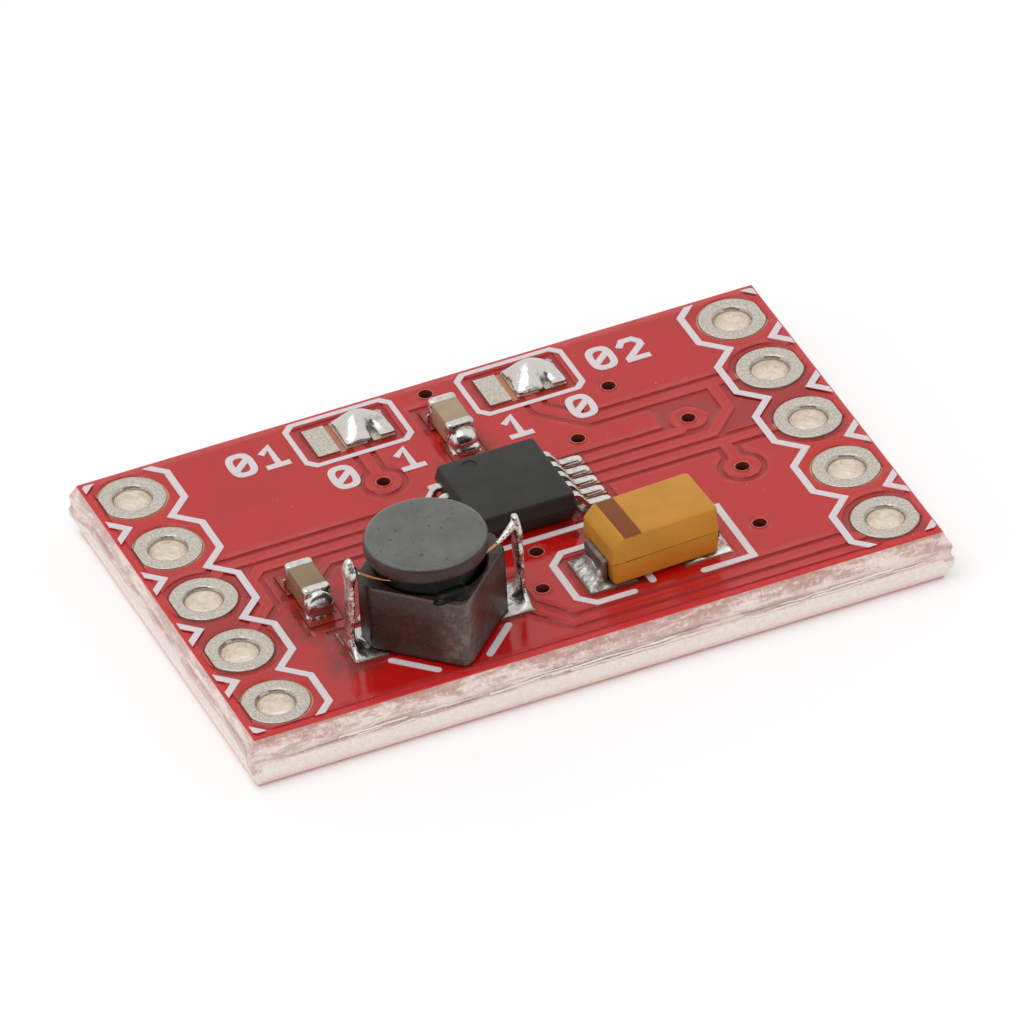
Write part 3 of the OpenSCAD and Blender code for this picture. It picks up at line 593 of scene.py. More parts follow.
def mask_finish(colours):
    """Glossy red solder mask, duller where it dips between tracks, with flux and painted shade around the
    soldered parts, a border and a foot lightened by painted glow, and upright faces lightened by painted
    light.
    """
    f = Finish("red_solder_mask", IOR=1.5)
    x, y, z = f.axes()
    reach_x, reach_y = (float(v) for v in box_mm("top_copper")[1][:2])
    middle = PAD_TOP / 2
    face = BOARD_TOP - middle
    over_copper = f.span(f.size(f.minus(z, middle)), face - 0.03, face - 0.004)
    red = f.mix(over_copper, colours.mask_gap, f.shades((0.35, 4), colours.mask, 0.94, 1.05))
    # Painted glow: the mask over the bare border is lighter, as light leaks in through the board's edge
    edge = f.math("MAXIMUM", f.minus(f.size(x), reach_x), f.minus(f.size(y), reach_y))
    red = f.blend(edge, red, colours.mask_border_and_glow, -0.02, 0.1)
    smear = f.span((1.6, 5, 0.65, (1, 1, 1), 0.9), 0.34, 0.62)
    # Flux stains and painted shade: the mask darkens round the soldered parts, most widely between the left
    # ceramic and the coil
    for place, reach, share in FLUX_AND_SHADE_PLACES:
        spread = f.times(f.near(place, reach * 0.3, reach), share)
        red = f.mix(f.times(spread, smear), red, colours.flux_and_shade_on_mask)
    red = f.mix(f.specks(2.6, 0.035), red, colours.dust)
    # Painted light: upright faces of the mask are twice as light as the mask, to cancel the shade on its
    # steps; at the foot they take the rim colour, a painted glow of light through the lower mask
    wall = f.blend(z, colours.mask_rim, shade(colours.mask, 2.0), 0.1, 0.2)
    return f.done(f.mix(f.upright(), red, wall), ((1.4, 5), 0.08, 0.18, 0.35, 0.75), ((1.1, 2), 0.014),
                  ((9, 3), 0.0012), normal=f.soft_edges(0.24, 0.34))


def laminate_finish(colours):
    """Snapped glass-epoxy edge: mottled above the tear, paler below it, pink at its foot with painted glow,
    and dark red-brown where it shows by pads, bare laminate darkened with painted shade.
    """
    f = Finish("snapped_laminate", IOR=1.5)
    x, _, z = f.axes()
    scored = float(box_mm("substrate")[1][0]) - SCORE_INSET
    ends = f.span(f.size(x), scored - 0.1, scored)
    streaks, mottle = f.grain(1.6, 6, 0.7, (0.55, 0.55, 2.6), 0.3), f.grain(9, 5, 0.7)
    upper = f.blend(streaks, colours.laminate_shade, colours.laminate, 0.43, 0.58)
    upper = f.blend(mottle, upper, colours.laminate_pale, 0.52, 0.72, 0.75)
    lower = f.blend(mottle, colours.laminate, colours.laminate_pale, 0.36, 0.62)
    tear = f.plus(f.plus(z, f.times(f.grain(0.6, 3), 0.1)), f.times(ends, 0.2))
    side = f.blend(tear, lower, upper, 0.79, 0.84)
    ragged = f.plus(f.span(streaks, 0.65, 0.35, 0, 0.3), f.span(mottle, 0.65, 0.35, 0, 0.25))
    fringe = f.times(f.span(f.plus(z, ragged), 1.35, 1.95, 0, 0.75), f.span(ends, 0, 1, 1, 0.45))
    side = f.mix(fringe, side, colours.laminate_tint)
    # Painted glow: the foot of the edge turns pink with the lower mask's rim colour, less so at the ends
    glow = f.minus(f.span(z, 0.3, 0.04, 0, 0.25), f.times(ends, 0.25))
    side = f.mix(glow, side, colours.mask_rim)
    # Bare laminate by the pads and rings, darkened with painted shade into dark lines
    bare = colours.bare_laminate_and_shade
    for gap in JUMPER_GAPS:
        bare = f.mix(f.near(gap, 0.62, 0.72), bare, colours.laminate_gap)
    return f.done(f.blend(z, side, bare, 1.525, 1.538), (streaks, 0.35, 0.7),
                  ((2.4, 6, 0.65, (1, 1, 2.5)), 0.035), ((16, 3), 0.006))


def fibre_finish(colours):
    """Pale torn glass fibre."""
    pale = colours.laminate_pale
    return blotched("torn_glass_fibre", pale, shade(pale, 1.1), (6, 3), ((9, 3), 0.3, 0.5), IOR=1.5)


def copper_finish(colours):
    """Bare copper, dulled by flux, and dark red round the ceramic pads with flux and painted shade."""
    f = Finish("dull_copper", Metallic=0.75)
    bare = f.shades((3, 4), colours.copper, 1.0, 0.7, 0.35, 0.7)
    # Flux and painted shade: round the ceramic pads the copper takes the dark red of the shaded bare
    # laminate
    for node in ("back_ceramic_pads", "left_ceramic_pads"):
        bare = f.mix(f.near(tuple(middle_mm(node)), 1.4, 1.6), bare, colours.bare_laminate_and_shade)
    return f.done(bare, ((6, 3), 0.3, 0.5), ((10, 3), 0.002))


def via_finish(colours):
    """Copper of a via: salmon on its rim, brown inside, and darker further down with painted shade."""
    f = Finish("via_copper", Metallic=0.3)
    z, dark = f.axes()[2], colours.via_shaded_depth
    # Painted shade: the wall is three times as light at its top as it is deeper down
    wall = f.shades(z, dark, 1.0, 3.0, BOARD_TOP - 0.3, BOARD_TOP - 0.03)
    wall = f.blend(z, wall, colours.via_rim, BOARD_TOP - 0.012, BOARD_TOP - 0.002)
    return f.done(f.blend((5, 3), wall, shade(dark, 2.0), 0.4, 0.8, 0.3), ((8, 3), 0.3, 0.5))


def tin_finish(colours):
    """Speckled satin tin on rings and pads; smooth down the hole's wall and far brighter there with painted
    light, and darker at the hole's mouth with painted shade.
    """
    f = Finish("satin_tin")
    grit, spots, top = f.grain(15, 4, 0.7), f.grain(5, 3, 0.6), PAD_TOP / 2
    rise = f.size(f.minus(f.axes()[2], top))
    level = f.span(rise, top - 0.05, top - 0.01)
    mouth = f.times(f.span(rise, top - 0.16, top - 0.11), f.span(rise, top - 0.003, top - 0.015))
    face = f.shades(grit, colours.tin, 0.7, 1.12, 0.36, 0.64)
    face = f.blend(spots, face, shade(colours.tin, 0.55), 0.58, 0.75, 0.4)
    # Painted light: the plating down the hole's wall is far lighter than the tin, as the hole is lit
    wall = f.shades(spots, colours.lit_barrel, 1.0, 0.86, 0.58, 0.72, 0.8)
    # Painted shade: the rounded mouth of the hole is darker
    metal = f.mix(f.times(mouth, 0.8), f.mix(level, wall, face), shade(colours.tin, 0.6))
    f.link(f.span(level, 0.1, 0.9, 0.7, 0.85), f.shader.inputs["Metallic"])
    rough = f.plus(f.span(spots, 0.3, 0.7, 0.16, 0.26), f.times(level, 0.2))
    rough = f.minus(rough, f.times(mouth, 0.06))
    return f.done(metal, rough, (f.times(grit, level), 0.006), ((2.6, 2), 0.06))


def flux_and_shade_finish(colours):
    """Tinned pad under a coat of red-brown flux, painted dark red with flux and painted shade."""
    return blotched("pad_under_flux_and_shade", colours.bare_laminate_and_shade, colours.flux_stain,
                    ((4, 4), 0.6, 0.75, 0, 0.5), ((6, 3), 0.12, 0.3), ((7, 3), 0.01), IOR=1.5)


def solder_finish(colours, name="bright_solder", dull=0.0, bright_from=None):
    """Solder with faint ripples, bright in drops and dull in sheets, or bright to the right of a place."""
    f = Finish(name, Metallic=1.0)
    clean = shade(colours.solder, 1 - 0.25 * dull)
    metal = f.shades((3.5, 4, 0.6, (1, 1, 1), 0.8), clean, 1.0, 0.68 - 0.2 * dull, 0.5, 0.8)
    if bright_from is not None:
        metal = f.blend(f.axes()[0], metal, shade(colours.solder, 1.2), bright_from, bright_from + 0.1)
    return f.done(metal, ((5, 4), 0.13 + 0.15 * dull, 0.3 + 0.2 * dull, 0.35, 0.75),
                  ((4, 3, 0.5, (1, 1, 1), 0.5), 0.008 + 0.05 * dull), ((22, 2), 0.002))


def lead_finish(colours):
    """Formed and tinned lead metal."""
    return blotched("tinned_lead_metal", colours.solder, shade(colours.solder, 0.72), ((7, 4), 0.4, 0.7),
                    ((9, 3), 0.14, 0.3), ((9, 3), 0.006), Metallic=1.0)


def shaded_strip_finish(colours):
    """Lead strip of the tantalum capacitor, dull and darkened with painted shade."""
    return blotched("dull_shaded_strip_metal", colours.strip, shade(colours.strip, 0.6), ((4, 4), 0.35, 0.7),
                    ((9, 3), 0.3, 0.45), ((8, 3), 0.006), Metallic=1.0)


def terminal_finish(colours):
    """Solder-dipped coil terminals, browned by flux in streaks."""
    streaks = ((3, 5, 0.65, (2, 2, 0.7), 0.5), 0.45, 0.72)
    return blotched("dipped_terminal_metal", colours.solder, colours.flux_stain, streaks,
                    ((6, 4), 0.1, 0.34), ((4, 3, 0.6, (1.5, 1.5, 1)), 0.05), ((18, 2), 0.003), Metallic=1.0)


def chip_finish(colours):
    """Matt moulding compound with a fine grit."""
    f = Finish("chip_moulding_compound", IOR=1.38)
    grit = f.grain(22, 4, 0.7)
    dark = f.shades((1.2, 3), colours.chip, 0.85, 1.2, 0.35, 0.7)
    dark = f.blend(grit, dark, shade(colours.chip, 2.6), 0.58, 0.72, 0.6)
    return f.done(dark, (grit, 0.42, 0.6), (grit, 0.006))


def ferrite_finish(colours):
    """Sintered ferrite of the drum: grey and speckled where ground, darker round its edge."""
    f = Finish("ground_ferrite", IOR=1.45)
    grit, blot = f.grain(14, 5, 0.7), f.grain(1.6, 4)
    side = f.shades(blot, colours.ferrite_side, 0.9, 1.5, 0.35, 0.7)
    body = f.mix(f.facing_up(), side, f.shades(blot, colours.ferrite, 0.84, 1.14, 0.3, 0.75))
    body = f.blend(grit, body, shade(colours.ferrite, 1.8), 0.6, 0.74, 0.6)
    body = f.blend((7, 3), body, shade(colours.ferrite, 0.3), 0.62, 0.7, 0.8)
    return f.done(body, (grit, 0.3, 0.5), (grit, 0.008), (blot, 0.02))


def shield_finish(colours):
    """Pressed ferrite of the shield: brown-black, with a painted sheen towards its front corner, painted
    shade away from it, and cut corners nearly black with painted shade.
    """
    f = Finish("pressed_ferrite", IOR=1.5)
    x, y, _ = f.axes()
    grit, blot, brown = f.grain(12, 5, 0.7), f.grain(1.3, 5, 0.6), colours.ferrite_side
    front, middle = float(box_mm("coil_shield")[0][1]), float(middle_mm("coil_shield")[0])
    # Painted sheen: lighter, mottled ferrite near the front corner
    worn = f.times(f.span(y, front + 0.8, front + 0.15), f.span((3.2, 5, 0.7), 0.42, 0.66, 0.2, 1))
    dark = f.mix(worn, f.shades(blot, brown, 0.8, 1.5), colours.ferrite_sheen_and_specks)
    # Painted shade: darker away from the front corner
    dark = f.blend(y, dark, shade(brown, 0.35), front + 1.2, front + 2.2, 0.55)
    dark = f.blend(grit, dark, colours.ferrite_sheen_and_specks, 0.58, 0.72, 0.6)
    # Painted shade: the cut corners nearly black
    dark = f.blend(f.size(f.minus(x, middle)), dark, shade(brown, 0.2), 1.9, 1.97)
    return f.done(dark, (grit, 0.26, 0.44), (grit, 0.009), (blot, 0.05))


def glue_finish(colours):
    """Dark glue, glossy in places."""
    return blotched("dark_glue", shade(colours.chip, 0.1), shade(colours.chip, 0.3), (2.5, 4),
                    ((3, 3), 0.3, 0.55), ((5, 3), 0.02), IOR=1.25)


def wire_finish(colours, name="enamelled_copper", depth=1.0):
    """Enamelled copper wire, darker with painted shade where it is wound and varnished."""
    return blotched(name, shade(colours.wire, depth), shade(colours.wire, 0.65 * depth), (6, 3),
                    ((9, 2), 0.18, 0.32), Metallic=1.0, Coat_Weight=0.6, Coat_Roughness=0.1)


def case_finish(colours, place, yaw):
    """Yellow capacitor moulding with its brown polarity band, burnt in fine lines."""
    f = Finish("capacitor_moulding_compound", IOR=1.26)
    own = f.coords(turn=yaw, shift=place)
    x, _, z = f.axes(own)
    line = PAD_TOP + CASE_PARTING
    yellow = f.shades((0.9, 4), colours.case, 0.92, 1.07)
    yellow = f.blend((11, 4), yellow, shade(colours.case, 0.72), 0.62, 0.75, 0.5)
    seam = f.times(f.span(z, line - 0.025, line - 0.012), f.span(z, line + 0.012, line))
    yellow = f.mix(f.times(seam, 0.8), yellow, shade(colours.band, 0.6))
    yellow = f.blend(z, yellow, colours.case_low, line - 0.02, line - 0.42, 0.5)
    lines = f.texture("ShaderNodeTexWave", own, Scale=4.5, Distortion=0.8)
    burnt = f.shades(lines.outputs["Fac"], colours.band, 0.75, 1.25, 0.2, 0.9)
    band = f.times(f.span(x, -1.22, -1.2), f.span(x, -0.68, -0.7))
    return f.done(f.mix(f.times(band, f.facing_up()), yellow, burnt), ((3, 4), 0.26, 0.42),
                  ((13, 4), 0.005), ((0.8, 2), 0.02))


def ceramic_finish(colours):
    """Tan ceramic with faint layers."""
    f = Finish("tan_ceramic", IOR=1.6)
    tan = f.blend(f.axes()[0], colours.ceramic_dark, colours.ceramic, -4, -3)
    tan = f.blend((3, 4, 0.6, (1, 1, 6)), tan, shade(colours.ceramic_dark, 0.8), most=0.3)
    return f.done(tan, ((6, 3), 0.3, 0.45), ((8, 3), 0.005))


def ink_finish(colours):
    """Printed ink, a little thin in places."""
    thin = (8, 4, 0.65)
    return blotched("printed_white_ink", colours.ink, shade(colours.ink, 0.72), (thin, 0.55, 0.78, 0, 0.45),
                    (thin, 0.4, 0.6), ((12, 3), 0.006), IOR=1.5)


# Settings


def tint(name, text, value):
    """A colour that a user may change, in linear values."""
    return FloatVectorProperty(name=name, description=text, subtype="COLOR", size=3, min=0, max=1,
                               default=value)


def length(name, text, value):
    """A length that a user may change."""
    return FloatProperty(name=name, description=text, subtype="DISTANCE", unit="LENGTH", default=value * MM,
                         precision=5)


def angle(name, text, value):
    """An angle that a user may change, given in degrees."""
    return FloatProperty(name=name, description=text, subtype="ANGLE", default=math.radians(value))


class ModuleColours(bpy.types.PropertyGroup):
    """Colours of the module's finishes."""

    mask: tint("Solder mask", "Red of the solder mask over copper", (0.49, 0.0065, 0.005))
    mask_gap: tint("Mask gaps", "Solder mask where it dips between tracks", (0.35, 0.008, 0.006))
    # Painted glow as well: lighter than the mask, as light leaks in through the board's edge
    mask_border_and_glow: tint("Mask border", "Solder mask over the bare border", (0.55, 0.011, 0.014))
    mask_rim: tint("Mask rim", "Edge of the lower mask, where light comes through", (0.85, 0.24, 0.2))
    dust: tint("Dust", "Pale specks on the solder mask", (0.75, 0.6, 0.58))
    ink: tint("Ink", "Printed lines and digits", (0.7, 0.63, 0.65))
    laminate: tint("Laminate", "Fibres of the snapped edge", (0.93, 0.77, 0.72))
    laminate_pale: tint("Pale laminate", "Whitened resin below the tear", (0.98, 0.89, 0.84))
    laminate_shade: tint("Laminate shade", "Mauve streaks of the snapped edge", (0.68, 0.49, 0.46))
    laminate_tint: tint("Laminate tint", "Tint of the edge beside the solder mask", (0.52, 0.25, 0.19))
    # Painted shade as well: dark red-brown lines by the rings and pads
    bare_laminate_and_shade: tint("Bare laminate", "Laminate that shows beside pads", (0.27, 0.022, 0.014))
    laminate_gap: tint("Jumper gap", "Laminate that shows between jumper pads", (0.5, 0.2, 0.11))
    # Flux and painted shade: this colour also darkens the mask round the left ceramic and the coil
    flux_and_shade_on_mask: tint("Flux", "Dark flux left on the solder mask", (0.19, 0.012, 0.008))
    copper: tint("Copper", "Bare copper", (0.62, 0.3, 0.17))
    via_rim: tint("Via rim", "Rim of a via", (0.62, 0.13, 0.085))
    # Painted shade: the dark inside of a via
    via_shaded_depth: tint("Via depth", "Dark inside of a via", (0.12, 0.026, 0.016))
    tin: tint("Tin", "Tin on rings and pads", (0.6, 0.545, 0.475))
    # Painted light: much lighter than the tin, as the hole is lit
    lit_barrel: tint("Barrel", "Plating down the wall of a hole", (1.0, 0.93, 0.85))
    solder: tint("Solder", "Clean solder", (0.68, 0.66, 0.62))
    flux_stain: tint("Flux stain", "Browned metal of the coil terminals", (0.4, 0.25, 0.2))
    chip: tint("Chip", "Moulding compound of the chip", (0.022, 0.021, 0.018))
    ferrite: tint("Ferrite", "Ground ferrite on top of the coil", (0.12, 0.12, 0.108))
    ferrite_side: tint("Ferrite side", "Pressed ferrite on the sides", (0.034, 0.014, 0.009))
    # Painted sheen at the shield's front corner, and light specks
    ferrite_sheen_and_specks: tint("Rubbed ferrite", "Ferrite where it is rubbed", (0.15, 0.105, 0.085))
    # Painted shade: the strips are dark, as they stand in shade at the capacitor's ends
    strip: tint("Strip", "Dull lead strips of the tantalum capacitor", (0.24, 0.19, 0.155))
    wire: tint("Wire", "Enamelled copper wire", (0.72, 0.28, 0.08))
    case: tint("Capacitor", "Moulding of the tantalum capacitor", (0.55, 0.25, 0.032))
    case_low: tint("Capacitor below", "Moulding below the parting line", (0.62, 0.2, 0.014))
    band: tint("Band", "Polarity band of the tantalum capacitor", (0.22, 0.06, 0.013))
    ceramic: tint("Ceramic", "Body of the ceramic capacitors", (0.4, 0.28, 0.18))
    ceramic_dark: tint("Dark ceramic", "Body of the left ceramic capacitor", (0.25, 0.16, 0.075))


class ModuleSizes(bpy.types.PropertyGroup):
    """Sizes of what is modelled around the solids."""

    digit_h: length("Digit height", "Height of the printed digits", 1.08)
    digit_w: length("Digit width", "Width of the printed digits", 0.78)
    ink_w: length("Line width", "Width of the printed strokes", 0.2)
    ink_t: length("Ink thickness", "Thickness of the printed ink", 0.02)
    tear: length("Tear depth", "Depth of the tear along the snapped edges", 0.08)
    left_break: length("Left break", "Depth to which the left edge is broken back", 0.2)
    bridge_h: length("Bridge height", "Height of the solder bridges", 0.5)
    via_rim: length("Via rim", "Thickness of the rim around a via", 0.04)


class StageSettings(bpy.types.PropertyGroup):
    """Camera and light."""

    lens: FloatProperty(name="Focal length", description="Focal length in millimetres", default=530.63)
    azimuth: angle("Azimuth", "Camera's turn from the front", -20.944)
    elevation: angle("Elevation", "Camera's height over the horizon", 36.787)
    roll: angle("Roll", "Camera's roll", -3.852)
    distance: length("Distance", "Camera's distance from its aim", 407.19)
    aim: FloatVectorProperty(name="Aim", description="Point that the camera looks at", subtype="XYZ",
                             unit="LENGTH", default=(0.00001983, -0.00026137, 0.0016), precision=6)
    sky: FloatProperty(name="Sky", description="Strength of the light from all round", default=0.74)
    lamp: FloatProperty(name="Lamp", description="Power of the overhead soft box", unit="POWER",
                        default=0.5)


# Operators


class MODULE_OT_board(bpy.types.Operator):
    """Dresses the board: snapped laminate, copper, solder mask and vias"""

    bl_idname = "module.board"
    bl_label = "Board"

    RIGHT, BACK, LEFT, FRONT = range(4)
    # Rifts over the tear: height and seed
    RIFTS = ((0.06, 21), (0.2, 22))
    # Strands of fibre, and the ratios that scatter their places, lengths, heights and thicknesses
    STRANDS, SCATTER = 26, (0.381966, 0.7548, 0.57, 0.31)
    # Way from the faces of the core over which the tear fades
    FADE = 0.06

    def execute(self, context):
        colours, sizes = context.scene.module_colours, context.scene.module_sizes
        dress(mask_finish(colours), "top_solder_mask", "bottom_solder_mask")
        dress(copper_finish(colours), "top_copper", "bottom_copper")
        via = via_finish(colours)
        dress(via, "via_barrels")
        rims = [self.rim(x, y, sizes.via_rim / MM) for x, y in VIAS]
        add_piece("via_rims", joined(rims), via, "copper", crease=80)
        core = self.laminate(sizes.tear / MM, sizes.left_break / MM)
        core = add_piece("board_laminate", core, laminate_finish(colours), "laminate", "substrate")
        through = [(VIA_R + 0.025, x, y, 32) for x, y in VIAS]
        through += [(DRILL_R, *MODULE_OT_holes.place(node), 48) for node in HOLES]
        carve(core, [rod(x, y, ((r, -1), (r, 3)), count) for r, x, y, count in through])
        add_piece("torn_fibres", self.fibres(), fibre_finish(colours), "laminate", crease=60)
        return {"FINISHED"}

    @staticmethod
    def rim(x, y, thick):
        """A low round rim of mask and copper around a via."""
        section = [(VIA_R - 0.01 + thick / 2 * c, BOARD_TOP + thick * 0.25 * s) for c, s in circle(8)]
        return loft(revolved(x, y, 36, lambda c, s: section), wrap=True)

    def laminate(self, tear, left_break):
        """The core with its scored and torn edges, in close steps around the board."""
        low, high = box_mm("substrate")
        half_x, half_y = high[:2]
        levels = np.concatenate([np.linspace(low[2], WEB_LOW, 6), np.linspace(WEB_LOW, WEB_HIGH, 25)[1:],
                                 np.linspace(WEB_HIGH, high[2], 7)[1:]])
        across, along = int(2 * half_y / EDGE_STEP), int(2 * half_x / EDGE_STEP)
        edge = [(1, -1 + 2 * k / across, self.RIGHT) for k in range(across)]
        edge += [(1 - 2 * k / along, 1, self.BACK) for k in range(along)]
        edge += [(-1, 1 - 2 * k / across, self.LEFT) for k in range(across)]
        edge += [(-1 + 2 * k / along, -1, self.FRONT) for k in range(along)]
        inward = ((-1, 0), (0, -1), (1, 0), (0, 1))
        rings = []
        for z in levels:
            back = SCORE_INSET * max(0.0, (WEB_LOW - z) / WEB_LOW, (z - WEB_HIGH) / WEB_LOW)
            ring = []
            for u, v, side in edge:
                x, y = u * (half_x - back), v * (half_y - back)
                corner = half_y - abs(y) if side in (self.RIGHT, self.LEFT) else half_x - abs(x)
                push = self.torn(x, y, z, corner, side == self.LEFT, tear, left_break)
                if z < WEB_HIGH:
                    push = min(push, SCORE_INSET - back + 0.02)
                push *= min(1.0, (z - low[2]) / self.FADE, (high[2] - z) / self.FADE)
                nx, ny = inward[side]
                ring.append((x + nx * push, y + ny * push, z))
            rings.append(np.array(ring))
        return loft(rings)

    @staticmethod
    def crack(x, y):
        """Height of the tear at a place on the edge."""
        return 0.75 + 0.05 * wander((x, y, 0), 0.4, 1) + 0.035 * wander((x, y, 0), 1.7, 2)

    def torn(self, x, y, z, corner, on_left, tear, left_break):
        """How far the tear, its rifts and the broken left edge set back a point, by its way to a corner."""
        crack = self.crack(x, y)
        hollow = smooth_step(z, crack, crack + 0.03) * smooth_step(z, 1.2, 0.95)
        push = hollow * tear * (0.8 + 0.7 * wander((x, y, 0), 1.1, 3))
        if on_left:
            broken = smooth_step(z, 1.3, 0.95) * (0.85 + 0.3 * wander((x, y, 0), 0.6, 6))
            push += left_break * smooth_step(corner, 0.15, 1.1) * broken
        else:
            for line, seed in self.RIFTS:
                rift = crack + line + 0.06 * wander((x, y, 0), 0.7, seed)
                parted = 0.16 * max(0.0, wander((x, y, 0), 0.55, seed + 5) + 0.15)
                push += parted * smooth_step(corner, 0.3, 1.0) * math.exp(-((z - rift) / 0.022) ** 2)
        coarse, fine = wander((x, y, 3 * z), 3.5, 4), wander((x, y, 4 * z), 9, 5)
        return push + 0.012 * (1 + coarse) + 0.008 * (1 + fine)

    def fibres(self):
        """Pale strands that hang along the tear at the front and right sides."""
        half_x, half_y = box_mm("substrate")[1][:2]
        strands = []
        for seed in range(self.STRANDS):
            front = seed % 4 != 3
            reach = half_x if front else half_y
            place, long, high, thick = ((seed * ratio) % 1.0 for ratio in self.SCATTER)
            start = (2 * place - 1) * (reach - 2.2)
            run, rise = 0.6 + 1.6 * long, 0.03 + 0.2 * high
            path = []
            for t in (start + run * k / 13 for k in range(14)):
                x, y = (t, -half_y) if front else (half_x, t)
                z = self.crack(x, y) + rise + 0.035 * wander((t, seed, 0), 2.2, 30 + seed)
                inset = 0.035 + 0.018 * wander((t, seed, 1), 3.0, 31)
                path.append((x, y + inset, z) if front else (x - inset, y, z))
            section = round_section(0.012 + 0.012 * thick, 6)
            strands.append(swept(path, section, (0, 1, 0) if front else (1, 0, 0)))
        return joined(strands)


class MODULE_OT_holes(bpy.types.Operator):
    """Models the plated holes with their rounded mouths and dresses the pads"""

    bl_idname = "module.holes"
    bl_label = "Holes and pads"

    def execute(self, context):
        colours = context.scene.module_colours
        tin, flux = tin_finish(colours), flux_and_shade_finish(colours)
        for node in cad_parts:
            if node.endswith("_pads"):
                # Ceramic pads are painted dark red: flux and painted shade
                dress(flux if "ceramic" in node else tin, node)
        for node in HOLES:
            add_piece(node.replace("hole", "ring"), self.ring(node), tin, "tin_plating", node, crease=40)
        return {"FINISHED"}

    @staticmethod
    def place(node):
        """X and Y of a hole, whose ring may be cut at the side."""
        x, y, _ = middle_mm(node)
        return math.copysign(HOLE_ROW, x), y

    def ring(self, node):
        """A plated hole turned from its section, with its ring cut straight at the copper's edge."""
        low, high = box_mm(node)
        x, y = self.place(node)
        outer, limit, rim = (high[1] - low[1]) / 2, max(abs(low[0]), abs(high[0])), high[2]
        core_low, core_high = (corner[2] for corner in box_mm("substrate"))
        mouth, drop, edge = 0.11, 0.13, 0.02
        top = [(outer, rim - 2 * edge), (outer - 0.4 * edge, rim - 0.7 * edge),
               (outer - edge, rim - 0.2 * edge), (outer - 0.05, rim)]
        for a in (math.pi / 2 * k / 6 for k in range(7)):
            top.append((HOLE_R + mouth * (1 - math.sin(a)), rim - drop * (1 - math.cos(a))))
        bottom = [(r, low[2] + rim - z) for r, z in reversed(top)]
        section = [(DRILL_R, core_high), (outer, core_high), *top,
                   *bottom, (outer, core_low), (DRILL_R, core_low)]

        def worn(c, s):
            share = 1 - 0.006 * (1 + wander((x + c, y + s, 0), 3, 30))
            return [(r * share if r > outer - 0.06 else r, z) for r, z in section]

        points, faces = loft(revolved(x, y, 72, worn), wrap=True)
        points[:, 0] = np.clip(points[:, 0], -limit, limit)
        return points, faces


class MODULE_OT_print(bpy.types.Operator):
    """Dresses the printed lines and adds the plain digits beside the solder jumpers"""

    bl_idname = "module.print"
    bl_label = "Printing"

    DIGITS = (("0", -5.7, 5.04), ("1", -4.78, 5.04), ("0", -3.42, 3.27), ("1", -1.53, 3.27),
              ("1", 1.65, 3.27), ("0", 3.6, 3.27), ("0", 4.96, 5.04), ("2", 5.89, 5.04))

    def execute(self, context):
        sizes = context.scene.module_sizes
        ink = ink_finish(context.scene.module_colours)
        dress(ink, "top_ink")
        self.size = np.array([sizes.digit_w, sizes.digit_h]) / MM
        self.line, self.top = sizes.ink_w / MM, BOARD_TOP + sizes.ink_t / MM
        strokes, bars = zip(*(self.digit(*place) for place in self.DIGITS))
        piece = add_piece("printed_digits", joined(strokes), ink, "printed_ink")
        carve(piece, bars, "UNION")
        return {"FINISHED"}

    def digit(self, digit, x, y):
        """The main stroke of a digit about its middle, and the bar across it."""
        w, h = (self.size - self.line) / 2
        if digit == "0":
            return self.loop(w, h, x, y), self.stroke([(-0.62 * w, -0.36 * h), (0.62 * w, 0.36 * h)], x, y)
        turns = [(-0.8 * w, 0.5 * h), (0.08 * w, h), (0.08 * w, -h)]
        if digit == "2":
            turns = [(-w, 0.55 * h), (-0.5 * w, h), (0.5 * w, h), (w, 0.6 * h), (w, 0.25 * h),
                     (-0.85 * w, -0.85 * h)]
        return self.stroke(turns, x, y), self.stroke([(-w, -h), (w, -h)], x, y)

    def section(self):
        """Corners of a printed line: 1 or -1 for its side, and the height."""
        return (1, BOARD_TOP), (1, self.top), (-1, self.top), (-1, BOARD_TOP)

    def loop(self, w, h, x, y):
        """A closed oval band."""
        rings = []
        for side, z in self.section():
            a, b = w + side * self.line / 2, h + side * self.line / 2
            ring = [(x + a * squared(c, 0.72), y + b * squared(s, 0.72), z) for c, s in circle(40)]
            rings.append(np.array(ring))
        return loft(rings, wrap=True)

    def stroke(self, path, x, y):
        """A flat mitred line on the mask."""
        path = np.asarray(path, float) + (x, y)
        rings = []
        for i, p in enumerate(path):
            runs = [path[j + 1] - path[j] for j in (i - 1, i) if 0 <= j < len(path) - 1]
            normals = [np.array([-d[1], d[0]]) / np.linalg.norm(d) for d in runs]
            across = sum(normals) / len(normals)
            across = across / max(0.3, across @ across) * self.line / 2
            if len(runs) == 1:
                p = p + runs[0] / np.linalg.norm(runs[0]) * self.line * (-0.3 if i == 0 else 0.3)
            rings.append(np.array([(*(p + side * across), z) for side, z in self.section()]))
        return loft(rings)


